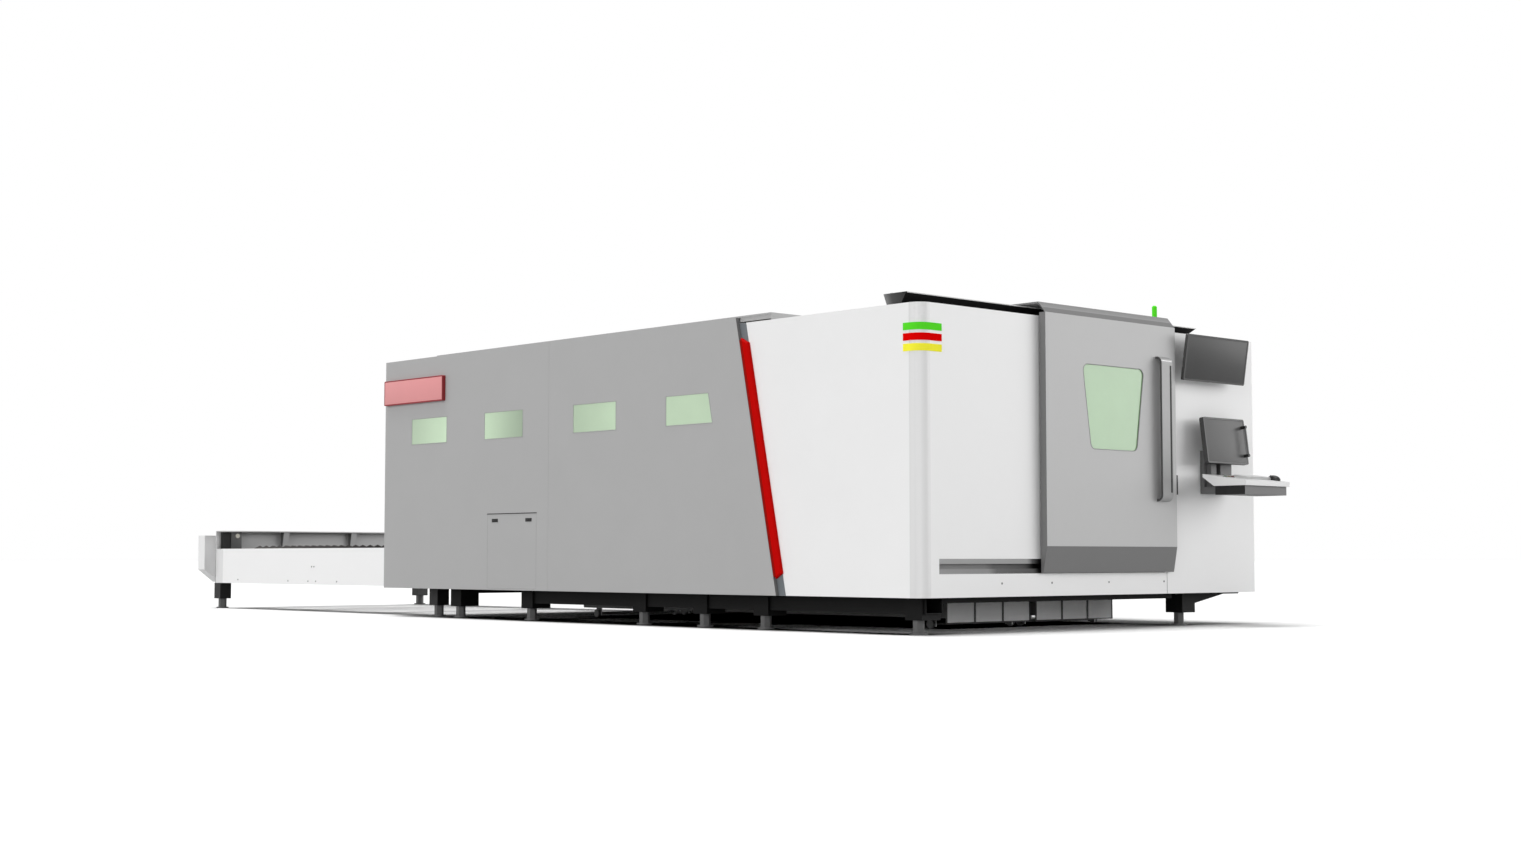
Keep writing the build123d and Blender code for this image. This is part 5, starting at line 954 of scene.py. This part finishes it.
# The handle's front is graded darker in its lower part: painted shade.
HANDLE_SHADE_BANDS = ((0, 0.85), (0.138, 0.62), (0.358, 0.86), (0.608, 1.0), (0.973, 1.0))
grade(HANDLE_STEEL, Z_AXIS, [(handle_low.z + rise, tone) for rise, tone in HANDLE_SHADE_BANDS])

# Console: a black block in the neck gap as painted shade, panes, keys, mouse, button rings

# A black block fills the gap between the neck blocks: painted shade.
NECK_SHADE_BACK = 0.033
NECK_SHADE_FRONT = 0.052
NECK_SHADE_Y = (1.192, 1.238)
NECK_SHADE_Z = (0.955, 1.112)
NECK_SHADE_BEVEL = 0.003
block_piece(
    "neck_gap_shade",
    (front_high.x + NECK_SHADE_BACK, NECK_SHADE_Y[0], NECK_SHADE_Z[0]),
    (front_high.x + NECK_SHADE_FRONT, NECK_SHADE_Y[1], NECK_SHADE_Z[1]),
    BLACK,
    "machine",
    bevel=NECK_SHADE_BEVEL,
)

PANE_THICK = 0.002
SCREENS = (
    ("monitor_pane", "monitor", MONITOR_GLASS, "upper_monitor"),
    ("operator_pane", "operator_screen", SCREEN, "console_screen"),
)
for pane_name, node_name, glass, body in SCREENS:
    pane(pane_name, node_name, AHEAD, ACROSS, PANE_INSET, PANE_THICK, glass, body)

tray_low, tray_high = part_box("keyboard_tray")
tray_edge = Vector((tray_high.x, tray_low.y, tray_low.z + TRAY_LIP))
tray_fall = tray_high.z - tray_edge.z
tray = plane_frame(tray_edge, ACROSS, (tray_fall, 0, tray_high.x - tray_low.x))
tray_inverse = tray.inverted()

board = [tray_inverse @ vertex.co for vertex in nodes["keyboard"].data.vertices]
board_low = Vector([min(p[i] for p in board) for i in range(3)])
board_high = Vector([max(p[i] for p in board) for i in range(3)])
key_step_x = (board_high.x - board_low.x - 2 * KEY_BORDER) / KEY_COLUMNS
key_step_y = (board_high.y - board_low.y - 2 * KEY_BORDER) / KEY_ROWS
SPACE_BAR = (4, 10)
keys = bmesh.new()
for row in range(KEY_ROWS):
    for column in range(KEY_COLUMNS):
        wide = 1
        if row == 0 and SPACE_BAR[0] <= column < SPACE_BAR[1]:
            if column > SPACE_BAR[0]:
                continue
            wide = SPACE_BAR[1] - SPACE_BAR[0]
        key_x = board_low.x + KEY_BORDER + column * key_step_x
        key_y = board_low.y + KEY_BORDER + row * key_step_y
        add_block(
            keys,
            (key_x + KEY_GAP / 2, key_y + KEY_GAP / 2, board_high.z),
            (
                key_x + wide * key_step_x - KEY_GAP / 2,
                key_y + key_step_y - KEY_GAP / 2,
                board_high.z + KEY_HEIGHT,
            ),
            bevel=KEY_BEVEL,
            segments=1,
            place=tray,
        )
finish_piece("keyboard_keys", keys, KEYCAP, "machine")

mouse = bmesh.new()
around, rows = MOUSE_SEGMENTS
shell = bmesh.ops.create_uvsphere(mouse, u_segments=around, v_segments=rows, radius=1)
for vertex in shell["verts"]:
    lifted = max(vertex.co.z, -MOUSE_SINK) + MOUSE_SINK
    waist = 1 - MOUSE_WAIST * (1 - vertex.co.y**2) * (1 - lifted)
    vertex.co = tray @ Vector(
        (
            MOUSE_AT[0] + vertex.co.x * waist * MOUSE_SIZE[0] / 2,
            MOUSE_AT[1] + vertex.co.y * MOUSE_SIZE[1] / 2,
            lifted / (1 + MOUSE_SINK) * MOUSE_SIZE[2],
        )
    )
wheel_at = (
    MOUSE_AT[0] - MOUSE_WHEEL_WIDTH / 2,
    MOUSE_AT[1] + MOUSE_WHEEL_AT[0] * MOUSE_SIZE[1],
    MOUSE_WHEEL_AT[1] * MOUSE_SIZE[2],
)
add_ring(mouse, tray @ facing(AHEAD, wheel_at), MOUSE_WHEEL_BORE, MOUSE_WHEEL_RADIUS, MOUSE_WHEEL_WIDTH)
finish_piece("mouse", mouse, BLACK_PLASTIC, "machine")

RING_INNER = 0.0125
RING_OUTER = 0.0165
RING_HEIGHT = 0.003
rings = bmesh.new()
for button in ("start_button", "pause_button", "stop_button"):
    low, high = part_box(button)
    spot = tray_inverse @ ((low + high) / 2)
    add_ring(rings, tray @ Matrix.Translation((spot.x, spot.y, 0)), RING_INNER, RING_OUTER, RING_HEIGHT)
finish_piece("button_rings", rings, ZINC, "machine")

# Exchange table: screws, stop plate with its pale spot, guard strips and panel folds

panel_low, panel_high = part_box("table_side_panels")
table_screws = bmesh.new()
for screw_x, screw_z in TABLE_SCREWS:
    add_screw(table_screws, facing(NEAR, (screw_x, panel_low.y, screw_z)))
finish_piece("table_screws", table_screws, ZINC, "machine")

STOP_THICK = 0.040
STOP_PLATE_Y = (-1.439, -1.333)
STOP_PLATE_Z = (0.470, 0.704)
STOP_PLATE_THICK = 0.006
STOP_PLATE_BEVEL = 0.002
stop_face_x = wall_x + STOP_THICK
block_piece(
    "stop_plate",
    (stop_face_x - EDGE, STOP_PLATE_Y[0], STOP_PLATE_Z[0]),
    (stop_face_x + STOP_PLATE_THICK, STOP_PLATE_Y[1], STOP_PLATE_Z[1]),
    CONSOLE,
    "machine",
    bevel=STOP_PLATE_BEVEL,
)

DOT_SHARES = ((0, 0), (1, 0), (1, 0.2), (0.8, 0.35), (0, 0.4))
dot = bmesh.new()
add_turned(
    dot,
    facing(AHEAD, (stop_face_x + STOP_PLATE_THICK, *DOT_AT)),
    [(r * DOT_RADIUS, h * DOT_RADIUS) for r, h in DOT_SHARES],
    segments=2 * SCREW_SEGMENTS,
)
finish_piece("stop_sensor", dot, CERAMIC, "machine")

GUARD_STRIP_Y = (-1.568, -1.530)
GUARD_STRIP_PROUD = 0.002
GUARD_INSET = 0.112
# A white strip down the guard wall's near edge, where the wall is out of the shade: painted light.
block_piece(
    "guard_edge_strip",
    (wall_x - EDGE, GUARD_STRIP_Y[0], guard_low.z + EDGE),
    (wall_x + GUARD_STRIP_PROUD, GUARD_STRIP_Y[1], guard_high.z - GUARD_SHEET - EDGE),
    WHITE,
    "machine",
    bevel=EDGE / 2,
)

RIM_STRIP = 0.011
block_piece(
    "guard_rim_strip",
    (guard_high.x - EDGE, guard_low.y + GUARD_INSET, guard_high.z - RIM_STRIP),
    (guard_high.x + GUARD_STRIP_PROUD, guard_high.y - GUARD_INSET, guard_high.z),
    COVER,
    "machine",
    bevel=EDGE / 2,
)

FOLD_THICK = 0.003
table_middle = (panel_low.y + panel_high.y) / 2
folds = bmesh.new()
for side in (-1, 1):
    strip_y = table_middle + side * (table_middle - GUARD_STRIP_Y[0])
    panel_y = table_middle + side * (table_middle - panel_low.y)
    fold_foot = Vector((wall_x, strip_y, panel_low.z))
    fold_run = Vector((panel_low.x + FOLD_THICK, panel_y, panel_low.z)) - fold_foot
    fold_up = Vector((0, 0, panel_high.z - panel_low.z))
    fold_in = Vector((0, -side * FOLD_THICK, 0))
    outline = (fold_foot, fold_foot + fold_run, fold_foot + fold_run + fold_up, fold_foot + fold_up)
    add_prism(folds, outline, fold_in)
finish_piece("panel_end_folds", folds, COVER, "machine")

# Rear and far side: screws and louvres

PANEL_SCREW_PITCH = 0.45
PANEL_SCREW_INSET = 0.030
PANEL_SCREW_RADIUS = 0.006
far_low, far_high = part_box("far_panels")
wall_low, wall_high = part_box("rear_wall")
far_seam = middle_low.x
panel_screws = bmesh.new()
for run_low, run_high in ((far_low.x, far_seam), (far_seam, far_high.x)):
    steps = round((run_high - run_low - PANEL_SCREW_PITCH) / PANEL_SCREW_PITCH)
    for step in range(steps):
        screw_x = run_low + PANEL_SCREW_INSET + step * PANEL_SCREW_PITCH
        spot = facing(ACROSS, (screw_x, far_high.y, far_low.z + PANEL_SCREW_INSET))
        add_screw(panel_screws, spot, PANEL_SCREW_RADIUS)
wall_steps = round((wall_high.y - wall_low.y) / PANEL_SCREW_PITCH)
for step in range(wall_steps):
    screw_y = wall_low.y + PANEL_SCREW_INSET + step * PANEL_SCREW_PITCH
    spot = facing(BEHIND, (wall_low.x, screw_y, wall_high.z - PANEL_SCREW_INSET))
    add_screw(panel_screws, spot, PANEL_SCREW_RADIUS)
finish_piece("panel_screws", panel_screws, ZINC, "machine")

LOUVRE_STARTS = (-0.90, 1.30)
LOUVRE_LENGTH = 0.60
LOUVRE_BASE = 0.46
LOUVRE_PITCH = 0.036
LOUVRE_COUNT = 10
LOUVRE_BLADE = 0.030
LOUVRE_SINK = 0.003
LOUVRE_PROUD = 0.004
LOUVRE_LEAN = radians(-18)
louvres = bmesh.new()
for louvre_x in LOUVRE_STARTS:
    for row in range(LOUVRE_COUNT):
        spot = Vector((louvre_x, far_high.y, LOUVRE_BASE + row * LOUVRE_PITCH))
        lean = Matrix.Translation(spot) @ Matrix.Rotation(LOUVRE_LEAN, 4, "X")
        add_block(
            louvres,
            (0, -LOUVRE_SINK, 0),
            (LOUVRE_LENGTH, LOUVRE_PROUD, LOUVRE_BLADE),
            bevel=2 * EDGE,
            place=lean,
        )
finish_piece("far_louvres", louvres, GREY, "machine")

# Levelling feet: lock nuts at the top of the stems

NUT_INNER = 0.012
NUT_OUTER = 0.036
NUT_HEIGHT = 0.016
NUT_DROP = 0.018
NUT_SIDES = 6
nuts = bmesh.new()
for foot_low, foot_high in grouped("levelling_feet", X_AXIS):
    foot_middle = (foot_low + foot_high) / 2
    spot = Matrix.Translation((foot_middle.x, foot_middle.y, foot_high.z - NUT_DROP))
    add_ring(nuts, spot, NUT_INNER, NUT_OUTER, NUT_HEIGHT, segments=NUT_SIDES)
finish_piece("foot_nuts", nuts, FOOT_GREY, "machine")

# Gantry: rail screws, motor fins, head collars, nozzle ceramic

RAIL_SCREW_PITCH = 0.24
RAIL_SCREW_RADIUS = 0.0065
RAIL_SCREW_SINK = 0.003
rail_screws = bmesh.new()
for rail_low, rail_high in grouped("gantry_rails", Y_AXIS):
    count = int((rail_high.x - rail_low.x) / RAIL_SCREW_PITCH)
    for number in range(count + 1):
        screw_x = rail_low.x + (number + 0.5) * (rail_high.x - rail_low.x) / (count + 1)
        screw_at = (screw_x, (rail_low.y + rail_high.y) / 2, rail_high.z - RAIL_SCREW_SINK)
        add_screw(rail_screws, Matrix.Translation(screw_at), RAIL_SCREW_RADIUS)
finish_piece("rail_screws", rail_screws, ZINC, "machine")

FIN_COUNT = 7
FIN_STEPS_BELOW = 2
FIN_STEPS_ABOVE = 1
FIN_HEIGHT = 0.006
FIN_DEPTH = 0.020
fins = bmesh.new()
for drive_low, drive_high in grouped("gantry_drives", Y_AXIS):
    drive_radius = (drive_high.y - drive_low.y) / 2
    drive_middle = (drive_low + drive_high) / 2
    fin_step = (drive_high.z - drive_low.z) / (FIN_STEPS_BELOW + FIN_COUNT + FIN_STEPS_ABOVE)
    for number in range(FIN_COUNT):
        fin_at = (drive_middle.x, drive_middle.y, drive_low.z + (FIN_STEPS_BELOW + number) * fin_step)
        add_ring(fins, Matrix.Translation(fin_at), drive_radius - FIN_DEPTH, drive_radius, FIN_HEIGHT)
finish_piece("motor_fins", fins, BLACK, "gantry")

COLLAR_SHARES = (0.55, 0.72, 0.90)
COLLAR_PROUD = 0.004
COLLAR_HEIGHT = 0.016
head_low, head_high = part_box("cutting_head")
head_middle = (head_low + head_high) / 2
head_radius = (head_high.x - head_low.x) / 2
collars = bmesh.new()
for share in COLLAR_SHARES:
    collar_z = head_low.z + share * (head_high.z - head_low.z)
    add_ring(
        collars,
        Matrix.Translation((head_middle.x, head_middle.y, collar_z)),
        head_radius - COLLAR_PROUD,
        head_radius + COLLAR_PROUD,
        COLLAR_HEIGHT,
    )
finish_piece("head_collars", collars, BLACK, "head")

nozzle_low, nozzle_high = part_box("nozzle")
nozzle_radius = (nozzle_high.x - nozzle_low.x) / 2
ceramic = bmesh.new()
add_ring(
    ceramic,
    Matrix.Translation((head_middle.x, head_middle.y, nozzle_high.z - COLLAR_HEIGHT / 2)),
    nozzle_radius - COLLAR_PROUD,
    nozzle_radius + COLLAR_PROUD,
    COLLAR_HEIGHT,
)
finish_piece("nozzle_ceramic", ceramic, CERAMIC, "head")

# Camera, floor and light


def link(thing):
    """Put an object in the scene and hand it back."""
    bpy.context.scene.collection.objects.link(thing)
    return thing


camera_data = bpy.data.cameras.new("camera")
camera_data.lens = CAMERA_LENS
camera_data.sensor_width = CAMERA_SENSOR
camera_data.sensor_fit = "HORIZONTAL"
camera_data.clip_end = CAMERA_REACH
camera = link(bpy.data.objects.new("camera", camera_data))
camera.location = CAMERA_PLACE
camera.rotation_euler = (CAMERA_PITCH, 0, CAMERA_HEADING)
bpy.context.scene.camera = camera

floor_mesh = bmesh.new()
bmesh.ops.create_grid(floor_mesh, x_segments=1, y_segments=1, size=FLOOR_SIZE / 2)
floor_data = bpy.data.meshes.new("floor")
floor_mesh.to_mesh(floor_data)
floor_mesh.free()
floor = link(bpy.data.objects.new("floor", floor_data))
floor_material = bpy.data.materials.new("pale_floor")
floor_material.use_nodes = True
floor_tree = floor_material.node_tree
floor_tree.nodes.clear()
floor_out = add_node(floor_tree, "ShaderNodeOutputMaterial")
floor_mix = add_node(floor_tree, "ShaderNodeMixShader")
floor_path = add_node(floor_tree, "ShaderNodeLightPath")
floor_bounce = add_node(floor_tree, "ShaderNodeBsdfDiffuse", Color=(FLOOR_BOUNCE,) * 3 + (1,))
floor_seen = add_node(floor_tree, "ShaderNodeBsdfDiffuse", Color=(FLOOR_SEEN,) * 3 + (1,))
# The camera-seen floor colour is darkened by ambient occlusion near and under the machine: painted shade.
floor_shade = add_node(floor_tree, "ShaderNodeAmbientOcclusion", Distance=SHADE_REACH)
shade_range = add_node(floor_tree, "ShaderNodeMapRange")
shade_range.inputs["From Min"].default_value = SHADE_FROM
shade_range.inputs["From Max"].default_value = SHADE_TO
shade_range.inputs["To Max"].default_value = FLOOR_SEEN
floor_tree.links.new(floor_shade.outputs["AO"], shade_range.inputs["Value"])
floor_tree.links.new(shade_range.outputs["Result"], floor_seen.inputs["Color"])
floor_tree.links.new(floor_path.outputs["Is Camera Ray"], floor_mix.inputs[0])
floor_tree.links.new(floor_bounce.outputs[0], floor_mix.inputs[1])
floor_tree.links.new(floor_seen.outputs[0], floor_mix.inputs[2])
floor_tree.links.new(floor_mix.outputs[0], floor_out.inputs[0])
floor_data.materials.append(floor_material)

world = bpy.data.worlds.new("studio")
bpy.context.scene.world = world
world.use_nodes = True
world_tree = world.node_tree
world_tree.nodes.clear()
world_out = add_node(world_tree, "ShaderNodeOutputWorld")
world_mix = add_node(world_tree, "ShaderNodeMixShader")
world_path = add_node(world_tree, "ShaderNodeLightPath")
world_light = add_node(world_tree, "ShaderNodeBackground", Color=(1, 1, 1, 1), Strength=SKY_STRENGTH)
world_seen = add_node(world_tree, "ShaderNodeBackground", Color=(1, 1, 1, 1), Strength=1.0)
seen_first = add_node(world_tree, "ShaderNodeMath", operation="MAXIMUM")
seen_all = add_node(world_tree, "ShaderNodeMath", operation="MAXIMUM")
world_tree.links.new(world_path.outputs["Is Camera Ray"], seen_first.inputs[0])
world_tree.links.new(world_path.outputs["Is Glossy Ray"], seen_first.inputs[1])
world_tree.links.new(seen_first.outputs[0], seen_all.inputs[0])
world_tree.links.new(world_path.outputs["Is Transmission Ray"], seen_all.inputs[1])
world_tree.links.new(seen_all.outputs[0], world_mix.inputs[0])
world_tree.links.new(world_light.outputs[0], world_mix.inputs[1])
world_tree.links.new(world_seen.outputs[0], world_mix.inputs[2])
world_tree.links.new(world_mix.outputs[0], world_out.inputs[0])

LAMPS = (
    ("overhead", SUN_STRENGTH, SUN_SPREAD, SUN_TILT),
    ("side_fill", SIDE_FILL, SIDE_FILL_SPREAD, SIDE_FILL_TURN),
    ("front_fill", FRONT_FILL, FRONT_FILL_SPREAD, FRONT_FILL_TURN),
)
for lamp_name, strength, spread, turn in LAMPS:
    lamp_data = bpy.data.lights.new(lamp_name, "SUN")
    lamp_data.energy = strength
    lamp_data.angle = spread
    lamp = link(bpy.data.objects.new(lamp_name, lamp_data))
    lamp.rotation_euler = turn

bpy.context.scene.view_settings.view_transform = "Standard"
